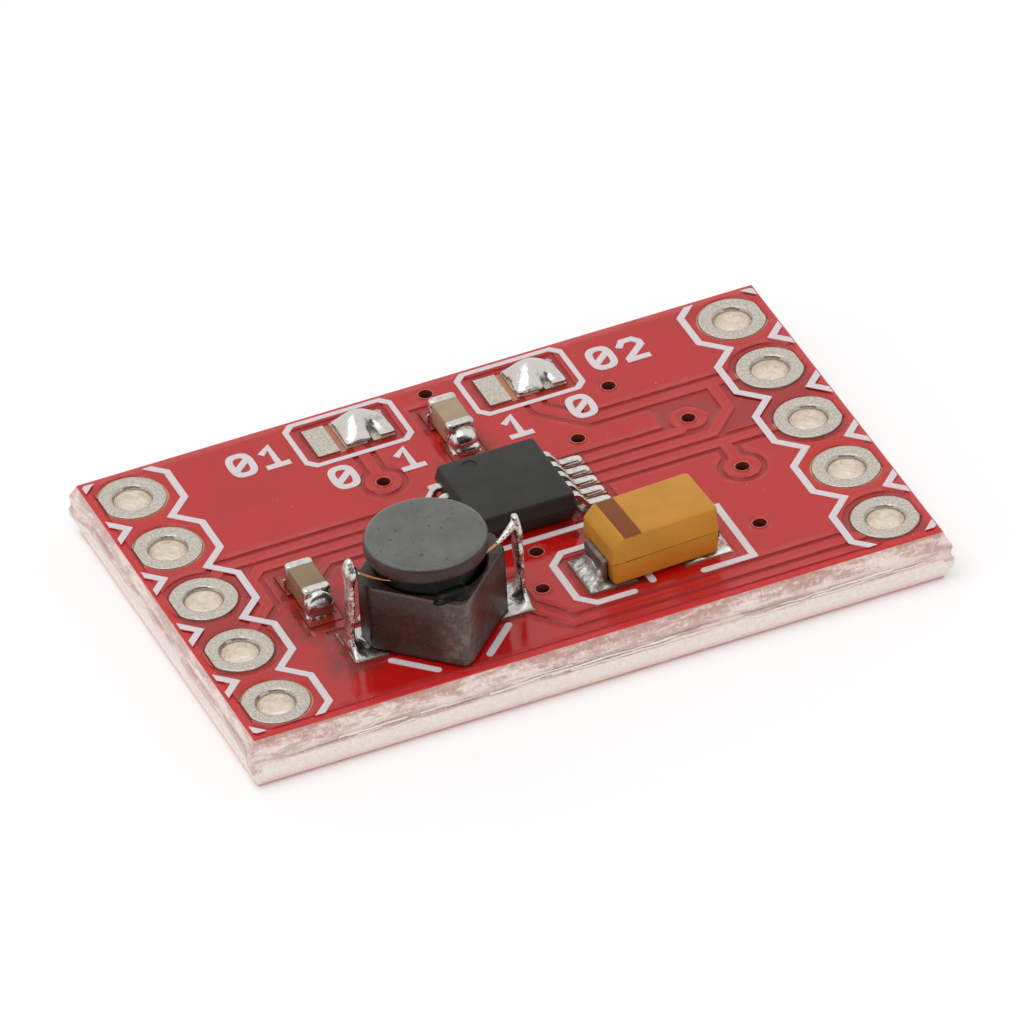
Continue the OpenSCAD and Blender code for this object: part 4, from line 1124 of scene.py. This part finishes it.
class MODULE_OT_jumpers(bpy.types.Operator):
    """Models the solder bridge on each jumper as a drop that is arched at the front"""

    bl_idname = "module.jumpers"
    bl_label = "Solder jumpers"

    def execute(self, context):
        colours, sizes = context.scene.module_colours, context.scene.module_sizes
        solder = solder_finish(colours, "satin_solder", 0.35)
        for seed, (side, _) in enumerate(SIDES):
            node = side + "_jumper_bridge"
            drop = self.bridge(node, sizes.bridge_h / MM, seed)
            add_solder(side + "_jumper_solder", [drop], solder, node)
        return {"FINISHED"}

    @staticmethod
    def bridge(node, top, seed):
        """One drop over two pads, highest over the first, with an arch open at the front between them."""
        low, high = box_mm(node)
        (x0, y0, base), (x1, y1) = low, high[:2]
        notch_x, notch_w, notch_h = x0 + (x1 - x0) * (0.62 + 0.02 * seed), 0.12, (0.5, 0.36)[seed]

        def inside(x, y):
            ragged = 0.025 * np.sin(9 * x + 4 * seed) * np.sin(7 * y)
            bite = np.hypot((x - notch_x) / notch_w, (y - y0) / notch_h) < 1
            back = y > y1 - 0.04 - 0.1 * np.clip((x - notch_x - 0.1) / 0.4, 0, 1) + ragged
            return ~bite & ~back & (x > x0 + 0.02 + ragged) & (y > y0 + 0.02 + ragged)

        def dome(x, y):
            return 0.2 + 1.6 * np.exp(-((x - x0 - 0.62) / 0.46) ** 2 - ((y - y0 - 0.85) / 0.5) ** 2)

        points, faces = film((x0, x1, y0, y1), inside, dome, base, 0.03)
        rise = points[:, 2] - base
        points[:, 2] = base + top * 1.08 * (rise / rise.max()) ** 0.75
        return points, faces


class MODULE_OT_chip(bpy.types.Operator):
    """Models the chip: rounded moulding, gull-wing leads and their solder"""

    bl_idname = "module.chip"
    bl_label = "Chip"

    PINS, LEAD_T, LEAD_FOOT, LEAD_BEND = range(1, 6), 0.15, 0.5, 0.13

    def execute(self, context):
        colours = context.scene.module_colours
        low, high = box_mm("chip_body")
        x, y, parting = middle_mm("chip_body")
        bottom, top = low[2], high[2]
        profile = ((0.15, bottom), (0.1, bottom + 0.03), (0.012, parting - 0.02), (0, parting),
                   (0.012, parting + 0.02), (0.066, top - 0.09), (0.08, top - 0.045), (0.105, top - 0.012),
                   (0.14, top))
        (x0, y0), (x1, y1) = low[:2], high[:2]
        shape = loft([rounded_ring(x0 + i, x1 - i, y0 + i, y1 - i, z, 0.1) for i, z in profile])
        compound = chip_finish(colours)
        body = add_piece("chip_moulding", shape, compound, "chip_moulding", "chip_body", crease=25)
        dent = ((0.17, top - 0.045), (0.21, top - 0.03), (0.23, top + 0.02))
        carve(body, [rod(x - 0.62, y + 1.02, dent, 32)], crease=25)
        metal = lead_finish(colours)
        joints = [self.lead(f"chip_lead_{side}_{pin}", sign, high[0], metal) for side, sign in SIDES
                  for pin in self.PINS]
        add_solder("chip_toe_solder", joints, solder_finish(colours), "chip_solder")
        return {"FINISHED"}

    def lead(self, node, sign, body_x, metal):
        """One lead with rounded bends. Returns the solder at its toe."""
        low, high = box_mm(node)
        base, y, width = low[2], (low[1] + high[1]) / 2, high[1] - low[1]
        root, toe = (low[0], high[0]) if sign > 0 else (high[0], low[0])
        foot_z, top_z = base + self.LEAD_T / 2, high[2] - self.LEAD_T / 2
        corners = [(root, y, top_z), (sign * (abs(body_x) + self.LEAD_T), y, top_z),
                   (toe - sign * self.LEAD_FOOT, y, foot_z), (toe, y, foot_z)]
        section = flat_section(width, self.LEAD_T)
        shape = swept(rounded_path(corners, self.LEAD_BEND, 5), section, (0, 1, 0))
        add_piece(node.replace("lead", "gull_wing"), shape, metal, "tinned_lead", node)
        drops = [lump((toe + sign * 0.02, y, base), (0.19, width / 2 + 0.035, 0.17), 0.7),
                 lump((toe - sign * 0.22, y, base), (0.2, width / 2 + 0.03, 0.15), 0.6)]
        return melted(drops, base, 0.024, 3)


class MODULE_OT_coil(bpy.types.Operator):
    """Models the coil: ferrite drum and shield, glue, terminals, wire ends and solder"""

    bl_idname = "module.coil"
    bl_label = "Coil"

    # Left and right terminal post: middle of its foot, lean and how far its tip stays below the highest
    POSTS = {-1: (-2.46, 0.15, 0.0), 1: (2.52, -0.04, 0.14)}
    POST_HALF_W, POST_HALF_D = 0.235, 0.095
    FOOT_X, FOOT_LONG, FOOT_GAP, FOOT_HALF, FOOT_T = 2.42, 0.78, 0.05, 0.27, 0.058
    # Left and right wire end: height at the post, and the share where solder starts and its reach
    WIRES = {-1: (2.6, 0.85, 0.15), 1: (2.52, 0.5, 0.5)}
    WIRE_R, PAD_LONG = 0.06, 0.93
    # Swellings of the left and right terminal: share of the height, spread and size
    BULGES = {-1: ((0.85, 0.1, 0.1), (0.05, 0.08, 0.08)),
              1: ((0.8, 0.08, 0.06), (0.5, 0.1, 0.03), (0.05, 0.08, 0.08))}
    # Glue beads at the front and back corners of the shield: offset from the drum, height and radii
    BEADS = ((0.0, -1.7, 0.06, (0.5, 0.26, 0.16)), (-0.3, -1.84, 0.0, (0.34, 0.16, 0.07)),
             (0.2, -1.9, 0.0, (0.26, 0.2, 0.07)), (0.0, 1.75, 0.08, (0.5, 0.26, 0.18)))

    def execute(self, context):
        colours = context.scene.module_colours
        self.drum_x, self.drum_y, _ = middle_mm("coil_drum")
        self.x, self.y, _ = middle_mm("coil_shield")
        ground, pressed = ferrite_finish(colours), shield_finish(colours)
        add_piece("coil_drum_core", self.drum(), ground, "ferrite", "coil_drum", crease=28)
        add_piece("coil_square_shield", self.shield(), pressed, "ferrite", "coil_shield", crease=28)
        add_piece("coil_glue_beads", self.glue(), glue_finish(colours), "glue", "coil_glue", crease=60)
        # Painted shade: the winding under the flange is dressed at 0.3 of the wire's colour
        dress(wire_finish(colours, "shaded_varnished_winding", 0.3), "coil_winding")
        wire, metal = wire_finish(colours), terminal_finish(colours)
        joints = []
        for side, sign in SIDES:
            node = f"coil_terminal_{side}"
            post, end = self.terminal(node, sign), self.wire(sign)
            add_piece(f"coil_terminal_post_{side}", post, metal, "coil_terminal", node, crease=60)
            node = f"coil_wire_{side}"
            add_piece(f"coil_wire_end_{side}", end, wire, "enamelled_wire", node, crease=60)
            joints.append(self.joint(sign))
        add_solder("coil_pad_solder", joints, solder_finish(colours, "sheet_solder", 0.6), "coil_solder")
        return {"FINISHED"}

    def drum(self):
        """The turned drum: rounded top flange, post and lower flange."""
        low, high = box_mm("coil_drum")
        bottom, top = low[2], high[2]
        outer, lower, post, dented_from = (high[0] - low[0]) / 2, 1.36, 0.7, 1.3
        flange_z, round_r, groove_z = top - 0.56, 0.2, bottom + 0.45
        profile = [(0.0, bottom), (lower, bottom), (lower, groove_z), (post, groove_z), (post, flange_z)]
        for centre_z, start in ((flange_z + round_r, -90), (top - round_r, 0)):
            for a in (math.radians(start + turn) for turn in range(0, 91, 15)):
                profile.append((outer - round_r + round_r * math.cos(a), centre_z + round_r * math.sin(a)))
        profile += [(1.2, top), (0.6, top), (0.0, top)]

        def worn(c, s):
            dents = [0.012 * (1 + wander((r * c, r * s, z), 1.7, 6)) for r, z in profile]
            return [(r - dent if r > dented_from else r, z) for (r, z), dent in zip(profile, dents)]

        return loft(revolved(self.drum_x, self.drum_y, 112, worn), wrap=True, closed=False)

    def shield(self):
        """The square shield at 45 degrees, with two corners cut and all edges worn round."""
        low, high = box_mm("coil_shield")
        base, top = low[2], high[2]
        reach, cut, bore_r = (high[1] - low[1]) / 2, (high[0] - low[0]) / 2, 1.5
        flat = reach - cut
        corners = [(0, -reach), (cut, -flat), (cut, flat), (0, reach), (-cut, flat), (-cut, -flat)]
        outline = dense(rounded_path(corners, (0.34, 0.12, 0.12, 0.34, 0.12, 0.12), 8, closed=True), 0.1)
        bore = bore_r * outline / np.linalg.norm(outline, axis=1)[:, None]
        rings = []
        for inset, z in ((0.05, base), (0.0, base + 0.05), (0.0, base + 0.6), (0.0, base + 1.2),
                         (0.0, top - 0.1), (0.02, top - 0.04), (0.07, top)):
            ring = [p * (1 - inset / np.linalg.norm(p)) * (1 - 0.004 * (1 + wander((*p, z), 1.4, 7)))
                    for p in outline]
            rings.append(level_ring(np.array(ring) + (self.x, self.y), z))
        for grow, z in ((1.04, top), (1.0, top - 0.05), (1.0, base)):
            rings.append(level_ring(bore * grow + (self.x, self.y), z))
        return loft(rings, wrap=True)

    def glue(self):
        """Glue that fills the gap under the flange and swells at two corners of the shield."""
        low, high = box_mm("coil_glue")
        base, top, inner, outer = low[2], high[2] + 0.04, 1.3, 1.46

        def section(c, s):
            foot = outer + 0.16 * abs(s) ** 12 + 0.03 * wander((c, s, 0), 2.5, 8)
            wall = [(foot, base), (foot - 0.01, base + 0.2), (foot - 0.05, top)]
            return [(inner, base), *wall, (inner, top)]

        shapes = [loft(revolved(self.drum_x, self.drum_y, 96, section), wrap=True)]
        shapes += [lump((self.drum_x + x, self.drum_y + y, base + z), size) for x, y, z, size in self.BEADS]
        return melted(shapes, base - 0.07, 0.034, 5)

    def terminal(self, node, sign):
        """A strip dipped in solder: a lumpy post that leans in, the soldered wire end and a foot."""
        low, high = box_mm(node)
        base, top = low[2], high[2]
        tall = top - base - self.POSTS[sign][2]
        rings = []
        for t in np.linspace(0, 1, 40):
            x, z = self.post_x(sign, t), base + tall * t
            w = self.POST_HALF_W * min(1.0, ((1 - t) / 0.14) ** 0.6 + 0.12)
            d = self.POST_HALF_D * min(1.0, ((1 - t) / 0.06) ** 0.5 + 0.25)
            for centre, spread, extra in self.BULGES[sign]:
                swell = extra * math.exp(-((t - centre) / spread) ** 2)
                w, d = w + swell * 0.6, d + swell * 0.7
            ring = []
            for c, s in circle(20):
                uneven = 1 + 0.2 * wander((c * 0.4, s * 0.4, z), 2.6, 9 + sign)
                ring.append((x + d * uneven * squared(c, 0.75), self.y + w * uneven * squared(s, 0.75), z))
            rings.append(np.array(ring))
        shapes = [loft(rings)]
        _, start, reach = self.WIRES[sign]
        for share in (k / 6 for k in range(7)):
            place = self.wire_point(sign, start + reach * share)
            shapes.append(lump(place, np.full(3, 0.07 + 0.06 * share)))
        points, faces = melted(shapes, base, 0.026, 3)
        points[:, 2] = np.minimum(points[:, 2], top)
        x = self.x + sign * self.FOOT_X
        x0, x1 = sorted((x - sign * self.FOOT_LONG, x - sign * self.FOOT_GAP))
        y0, y1 = self.y - self.FOOT_HALF, self.y + self.FOOT_HALF
        foot = loft([rounded_ring(x0, x1, y0, y1, z, 0.04, 3) for z in (base, base + self.FOOT_T)])
        return joined([(points, faces), foot])

    def post_x(self, sign, share):
        """Middle of a terminal post at a share of its height."""
        foot, lean, _ = self.POSTS[sign]
        return self.x + (foot + lean * share)

    def wire_point(self, sign, share):
        """A point on a wire end, from the winding to the terminal."""
        start = np.array([self.x + sign * 1.1, self.y - 0.66, PAD_TOP + 2.24])
        end_z = PAD_TOP + self.WIRES[sign][0]
        end = np.array([self.post_x(sign, 0.9) - sign * 0.02, self.y - 0.04, end_z])
        sag = np.array([0.0, -0.05, -0.1]) * 4 * share * (1 - share)
        return start + (end - start) * share + sag

    def wire(self, sign):
        """The wire's end, drawn out from under the flange to the terminal."""
        path = [self.wire_point(sign, k / 12) for k in range(13)]
        side = np.array([0.45, sign * 0.89, 0.0])
        return swept(path, round_section(self.WIRE_R), side / np.linalg.norm(side))

    def joint(self, sign):
        """Solder on a coil pad, drawn up at the terminal."""
        x = self.post_x(sign, 0.0)

        def height(px, py):
            away = math.hypot((px - x) / 0.13, (py - self.y) / 0.34)
            sheet = 0.03 + 0.025 * wander((px, py, 0), 4, 11 + sign)
            return sheet + 0.42 * math.exp(-max(0.0, away - 0.7) / 0.75)

        outline = pad_outline("coil_pads", sign, self.PAD_LONG, 0.05)
        return pool(outline, (x + sign * 0.02, self.y), PAD_TOP, height, 20)


class MODULE_OT_tantalum(bpy.types.Operator):
    """Models the tantalum capacitor: moulding with a bevelled end, folded strips and solder"""

    bl_idname = "module.tantalum"
    bl_label = "Tantalum capacitor"

    YAW = math.radians(2.5)
    PLACE = (2.64, -3.75, 0.0)
    STRIP_W, STRIP_T, STRIP_X, FOLD_Z = 1.2, 0.12, 1.68, 0.7
    WALL_X, PAD_LONG = 1.76, 1.36

    def execute(self, context):
        colours = context.scene.module_colours
        case = case_finish(colours, self.PLACE, self.YAW)
        body = turned(self.moulding(), self.YAW, self.PLACE)
        add_piece("capacitor_moulding", body, case, "capacitor_moulding", "tantalum_case", crease=30)
        metal = shaded_strip_finish(colours)
        joints = []
        for side, sign in SIDES:
            strip = turned(self.strip(sign), self.YAW, self.PLACE)
            add_piece(f"capacitor_strip_{side}", strip, metal, "tinned_lead", f"tantalum_strip_{side}")
            joints.append(self.joint(sign))
        solder = solder_finish(colours, "wrinkled_solder", 1.0, self.PLACE[0])
        add_solder("capacitor_pad_solder", joints, solder, "tantalum_solder")
        return {"FINISHED"}

    def strip(self, sign):
        """A lead strip that leaves the case at its parting line and folds under it."""
        high, low, out = PAD_TOP + self.FOLD_Z, PAD_TOP + self.STRIP_T / 2, sign * self.STRIP_X
        corners = [(sign * 1.3, 0, high), (out, 0, high), (out, 0, low), (sign * 0.88, 0, low)]
        section = flat_section(self.STRIP_W, self.STRIP_T)
        return swept(rounded_path(corners, 0.1, 5), section, (0, 1, 0))

    @staticmethod
    def moulding():
        """Case with leaning sides, a parting line and a bevel over the marked end."""
        bottom, top = (corner[2] for corner in box_mm("tantalum_case"))
        half_l, half_w, draft, bevel, parting = 1.6, 0.95, 0.03, 0.34, PAD_TOP + CASE_PARTING
        levels = [(0.1, bottom), (0.06, bottom + 0.02), (0.045, bottom + 0.06), (0.016, parting - 0.03),
                  (0.04, parting - 0.012), (0.04, parting - 0.004), (0.0, parting + 0.012)]
        for z in (top - bevel - 0.02, top - bevel + 0.03, top - 0.2, top - 0.1, top - 0.05):
            levels.append((draft * (z - parting) / (top - parting), z))
        levels += [(draft + 0.012, top - 0.03), (draft + 0.035, top - 0.01), (draft + 0.075, top)]
        rings = []
        for inset, z in levels:
            nose = max(0.0, z - (top - bevel))
            nose = nose**2 / (nose + 0.04)
            long, wide = half_l - inset, half_w - inset
            rings.append(rounded_ring(nose - long, long, -wide, wide, z, 0.11))
        return loft(rings)

    def joint(self, sign):
        """Solder sheet on a pad, wrinkled, drawn up at the strip."""
        wall = self.PLACE[0] + sign * self.WALL_X

        def height(px, py):
            past = sign * (px - wall)
            sheet = 0.05 + 0.045 * wander((px, py, 0), 4.2, 13 + sign) + 0.018 * wander((px, py, 0), 10, 14)
            rise = 0.3 * math.exp(-max(0.0, past) / 0.12) if abs(py - self.PLACE[1]) < 0.62 else 0.0
            under = 1.0 if past > -0.08 else 0.25
            return max(0.012, sheet) + rise * under

        outline = pad_outline("tantalum_pads", sign, self.PAD_LONG, 0.06)
        return pool(outline, (wall + sign * 0.02, self.PLACE[1]), PAD_TOP, height, 22)


class MODULE_OT_ceramics(bpy.types.Operator):
    """Models the two ceramic capacitors with their metal ends and lumpy solder"""

    bl_idname = "module.ceramics"
    bl_label = "Ceramic capacitors"

    # Solder at an end: height, depth, and drops with their offset out from the end, radii and squareness
    FRONT_SOLDER = {
        "back": (0.6, 0.46, (((0.0, 0.1, 0.3), (0.38, 0.3, 0.36), 0.8),
                             ((0.04, 0.28, 0.1), (0.36, 0.2, 0.2), 1.0))),
        "left": (0.6, 0.36, (((0.0, 0.05, 0.28), (0.4, 0.24, 0.47), 0.5),)),
    }
    BACK_SOLDER = (0.3, 0.2, ())
    CAP_HALF, CAP_LONG, CAP_TALL, CAP_T = 0.4, 0.27, 0.8, 0.03

    def execute(self, context):
        colours = context.scene.module_colours
        tan, solder, metal = ceramic_finish(colours), solder_finish(colours), lead_finish(colours)
        for seed, name in enumerate(("back", "left")):
            node = f"{name}_ceramic_body"
            low, high = box_mm(node)
            half, middle = (high - low) / 2, middle_mm(node)
            x, y, base = *middle[:2], low[2] - self.CAP_T
            long = half[1] - 0.02
            body = self.block((x, y, low[2]), half[0], -long, long, 2 * half[2], 0.05, seed)
            add_piece(f"{name}_ceramic_block", body, tan, "ceramic", node, crease=40)
            joints = []
            for end, sign in (("front", -1), ("back", 1)):
                y0, y1 = sorted((sign * (half[1] + self.CAP_T), sign * (half[1] - self.CAP_LONG)))
                cap = self.block((x, y, base), self.CAP_HALF, y0, y1, self.CAP_TALL, 0.09, seed + 2)
                node = f"{name}_ceramic_end_{end}"
                add_piece(f"{name}_ceramic_cap_{end}", cap, metal, "ceramic_end_metal", node, crease=40)
                tall, deep, drops = self.FRONT_SOLDER[name] if end == "front" else self.BACK_SOLDER
                wall = y + sign * half[1]
                joint = self.joint(x, wall, sign, base, tall, deep)
                lumps = [lump((x + right, wall + sign * out, base + up), *form)
                         for (right, out, up), *form in drops]
                joints.append(melted([joint, *lumps], base, 0.022, 6) if lumps else joint)
            add_solder(f"{name}_ceramic_joints", joints, solder, f"{name}_ceramic_solder")
        return {"FINISHED"}

    @staticmethod
    def block(at, half_w, y0, y1, tall, radius, seed):
        """A block along Y with rounded edges and slightly uneven sides."""
        near, far = radius * 0.3, radius * 0.9
        rings = []
        for inset, y in ((far, y0), (near, y0 + near), (0, y0 + radius),
                         (0, y1 - radius), (near, y1 - near), (far, y1)):
            half = half_w - inset
            ring = rounded_ring(-half, half, inset, tall - inset, y, radius)[:, (0, 2, 1)]
            ring[:, 0] *= [1 - 0.012 * (1 + wander(p, 3, seed + 20)) for p in ring]
            rings.append(ring + at)
        return loft(rings)

    @staticmethod
    def joint(x, wall, sign, base, tall, deep):
        """Solder on a pad, drawn up against the metal end."""
        half = 0.44
        y0, y1 = sorted((wall - sign * 0.03, wall + sign * deep))

        def inside(px, py):
            out = np.abs(py - wall) / deep
            ragged = 0.09 * np.sin(11 * px + 5 * tall) + 0.06 * np.sin(23 * px)
            return (out < 0.84 + ragged) & (np.abs(px - x) < half - 0.06 * out**2 + 0.02 * np.sin(17 * py))

        def held(px, py):
            top = tall * (1 - 0.35 * ((px - x) / half) ** 4 + 0.08 * np.sin(9 * px))
            return np.where(sign * (py - wall) < 0.02, top, np.nan)

        def dome(px, py):
            return np.full(px.shape, 0.8)

        return film((x - half, x + half, y0, y1), inside, dome, base, 0.02, held)


class MODULE_OT_stage(bpy.types.Operator):
    """Sets up the floor, the light and the camera"""

    bl_idname = "module.stage"
    bl_label = "Stage"

    FLOOR_REACH, FLOOR_Z, FLOOR_GLOW, FLOOR_LAP = 4.0, -0.02 * MM, 0.09, 0.3 * MM
    LAMP_AT, LAMP_SIZE = (-0.12, -0.02, 0.4), (0.34, 0.26)
    FLAG_AT, FLAG_HALF = (-0.25, -0.6, 0.42), (0.7, 0.26)
    CORNERS = ((-1, -1), (1, -1), (1, 1), (-1, 1))

    def execute(self, context):
        scene, stage = context.scene, context.scene.module_stage
        scene.view_settings.view_transform = "Standard"
        self.floor()
        self.sky(scene, stage.sky)
        self.lamp(scene, stage.lamp)
        self.flag()
        self.camera(scene, stage)
        return {"FINISHED"}

    def level(self, half_x, half_y, z):
        """Corners of a level rectangle about the origin."""
        return [(x * half_x, y * half_y, z) for x, y in self.CORNERS]

    @staticmethod
    def aim(thing, at, front):
        """Puts a thing at a place, with its front axis to the origin."""
        thing.location = at
        thing.rotation_mode = "QUATERNION"
        thing.rotation_quaternion = (-Vector(at)).to_track_quat(front, "Y")

    def floor(self):
        """A wide pale floor that keeps the shadow and mirrors as white, open where the board hides it."""
        open_x, open_y = (float(v) - self.FLOOR_LAP for v in CAD_BOX[1][:2])
        rims = ((self.FLOOR_REACH, self.FLOOR_REACH), (open_x, open_y))
        floor = linked("floor", *loft([self.level(*rim, self.FLOOR_Z) for rim in rims], caps=False))
        f = Finish("pale_floor", IOR=1.2, Emission_Color=(1, 1, 1, 1))
        pale = f.mix((0.02, 2), (0.93, 0.93, 0.93), (0.95, 0.95, 0.95))
        path = f.add("ShaderNodeLightPath").outputs
        f.link(f.times(path["Is Camera Ray"], self.FLOOR_GLOW), f.shader.inputs["Emission Strength"])
        white, blend = f.add("ShaderNodeEmission"), f.add("ShaderNodeMixShader")
        f.link(f.math("MAXIMUM", path["Is Glossy Ray"], path["Is Transmission Ray"]), blend.inputs["Fac"])
        f.link(f.shader.outputs["BSDF"], blend.inputs[1])
        f.link(white.outputs["Emission"], blend.inputs[2])
        f.link(blend.outputs["Shader"], f.out.inputs["Surface"])
        floor.data.materials.append(f.done(pale, 0.9))

    @staticmethod
    def sky(scene, strength):
        """Even light from all round, white where it is seen or mirrored."""
        world = bpy.data.worlds.new("studio")
        scene.world = world
        world.use_nodes = True
        nodes, link = world.node_tree.nodes, world.node_tree.links.new
        nodes.clear()
        path = nodes.new("ShaderNodeLightPath").outputs
        seen = path["Is Camera Ray"]
        for ray in ("Is Glossy Ray", "Is Transmission Ray"):
            either = nodes.new("ShaderNodeMath")
            either.operation = "MAXIMUM"
            link(seen, either.inputs[0])
            link(path[ray], either.inputs[1])
            seen = either.outputs["Value"]
        blend = nodes.new("ShaderNodeMixShader")
        link(seen, blend.inputs["Fac"])
        for socket, power in ((1, strength), (2, 1.0)):
            light = nodes.new("ShaderNodeBackground")
            light.inputs["Color"].default_value = (1, 1, 1, 1)
            light.inputs["Strength"].default_value = power
            link(light.outputs["Background"], blend.inputs[socket])
        link(blend.outputs["Shader"], nodes.new("ShaderNodeOutputWorld").inputs["Surface"])

    def lamp(self, scene, power):
        """One large soft box overhead, a little to the left and back."""
        data = bpy.data.lights.new("soft_box", "AREA")
        data.shape, data.energy = "RECTANGLE", power
        data.size, data.size_y = self.LAMP_SIZE
        lamp = bpy.data.objects.new("soft_box", data)
        self.aim(lamp, self.LAMP_AT, "-Z")
        scene.collection.objects.link(lamp)

    def flag(self):
        """A dark card in front that only mirrors see, to give bright metal its contrast."""
        flag = linked("dark_flag", self.level(*self.FLAG_HALF, 0), [(0, 1, 2, 3)])
        f = Finish("dark_cloth", IOR=1.0)
        cloth = f.mix((0.01,), (0.1, 0.1, 0.1), (0.14, 0.14, 0.14))
        flag.data.materials.append(f.done(cloth, 1.0))
        self.aim(flag, self.FLAG_AT, "-Z")
        for ray in ("camera", "diffuse", "transmission", "volume_scatter", "shadow"):
            setattr(flag, "visible_" + ray, False)

    @staticmethod
    def camera(scene, stage):
        """A long lens at the photograph's angle."""
        data = bpy.data.cameras.new("camera")
        data.lens, data.sensor_width = stage.lens, 36
        data.clip_start, data.clip_end = 0.01, 50
        camera = bpy.data.objects.new("camera", data)
        az, el, roll = stage.azimuth, stage.elevation, stage.roll
        back = Vector((math.sin(az) * math.cos(el), -math.cos(az) * math.cos(el), math.sin(el)))
        level = Vector((math.cos(az), math.sin(az), 0))
        right = level * math.cos(roll) + back.cross(level) * math.sin(roll)
        turn = Matrix((right, back.cross(right), back)).transposed()
        camera.matrix_world = Matrix.Translation(Vector(stage.aim) + back * stage.distance) @ turn.to_4x4()
        scene.collection.objects.link(camera)
        scene.camera = camera


class MODULE_PT_panel(bpy.types.Panel):
    """Lists the module's steps and settings"""

    bl_idname = "MODULE_PT_panel"
    bl_label = "Power module"
    bl_space_type = "VIEW_3D"
    bl_region_type = "UI"
    bl_category = "Module"

    def draw(self, context):
        for step in STEPS:
            self.layout.operator(step.bl_idname)
        for group, _ in SETTINGS:
            settings = getattr(context.scene, group)
            column = self.layout.column(align=True)
            for name in settings.bl_rna.properties.keys():
                if name not in ("rna_type", "name"):
                    column.prop(settings, name)


STEPS = (MODULE_OT_board, MODULE_OT_holes, MODULE_OT_print, MODULE_OT_jumpers, MODULE_OT_chip,
         MODULE_OT_coil, MODULE_OT_tantalum, MODULE_OT_ceramics, MODULE_OT_stage)
SETTINGS = (("module_colours", ModuleColours), ("module_sizes", ModuleSizes),
            ("module_stage", StageSettings))


def register():
    for name, group in SETTINGS:
        bpy.utils.register_class(group)
        setattr(bpy.types.Scene, name, PointerProperty(type=group))
    for cls in (*STEPS, MODULE_PT_panel):
        bpy.utils.register_class(cls)


def unregister():
    for cls in (MODULE_PT_panel, *reversed(STEPS)):
        bpy.utils.unregister_class(cls)
    for name, group in reversed(SETTINGS):
        delattr(bpy.types.Scene, name)
        bpy.utils.unregister_class(group)


def main():
    register()
    for step in STEPS:
        area, name = step.bl_idname.split(".")
        getattr(getattr(bpy.ops, area), name)()


if __name__ == "__main__":
    main()
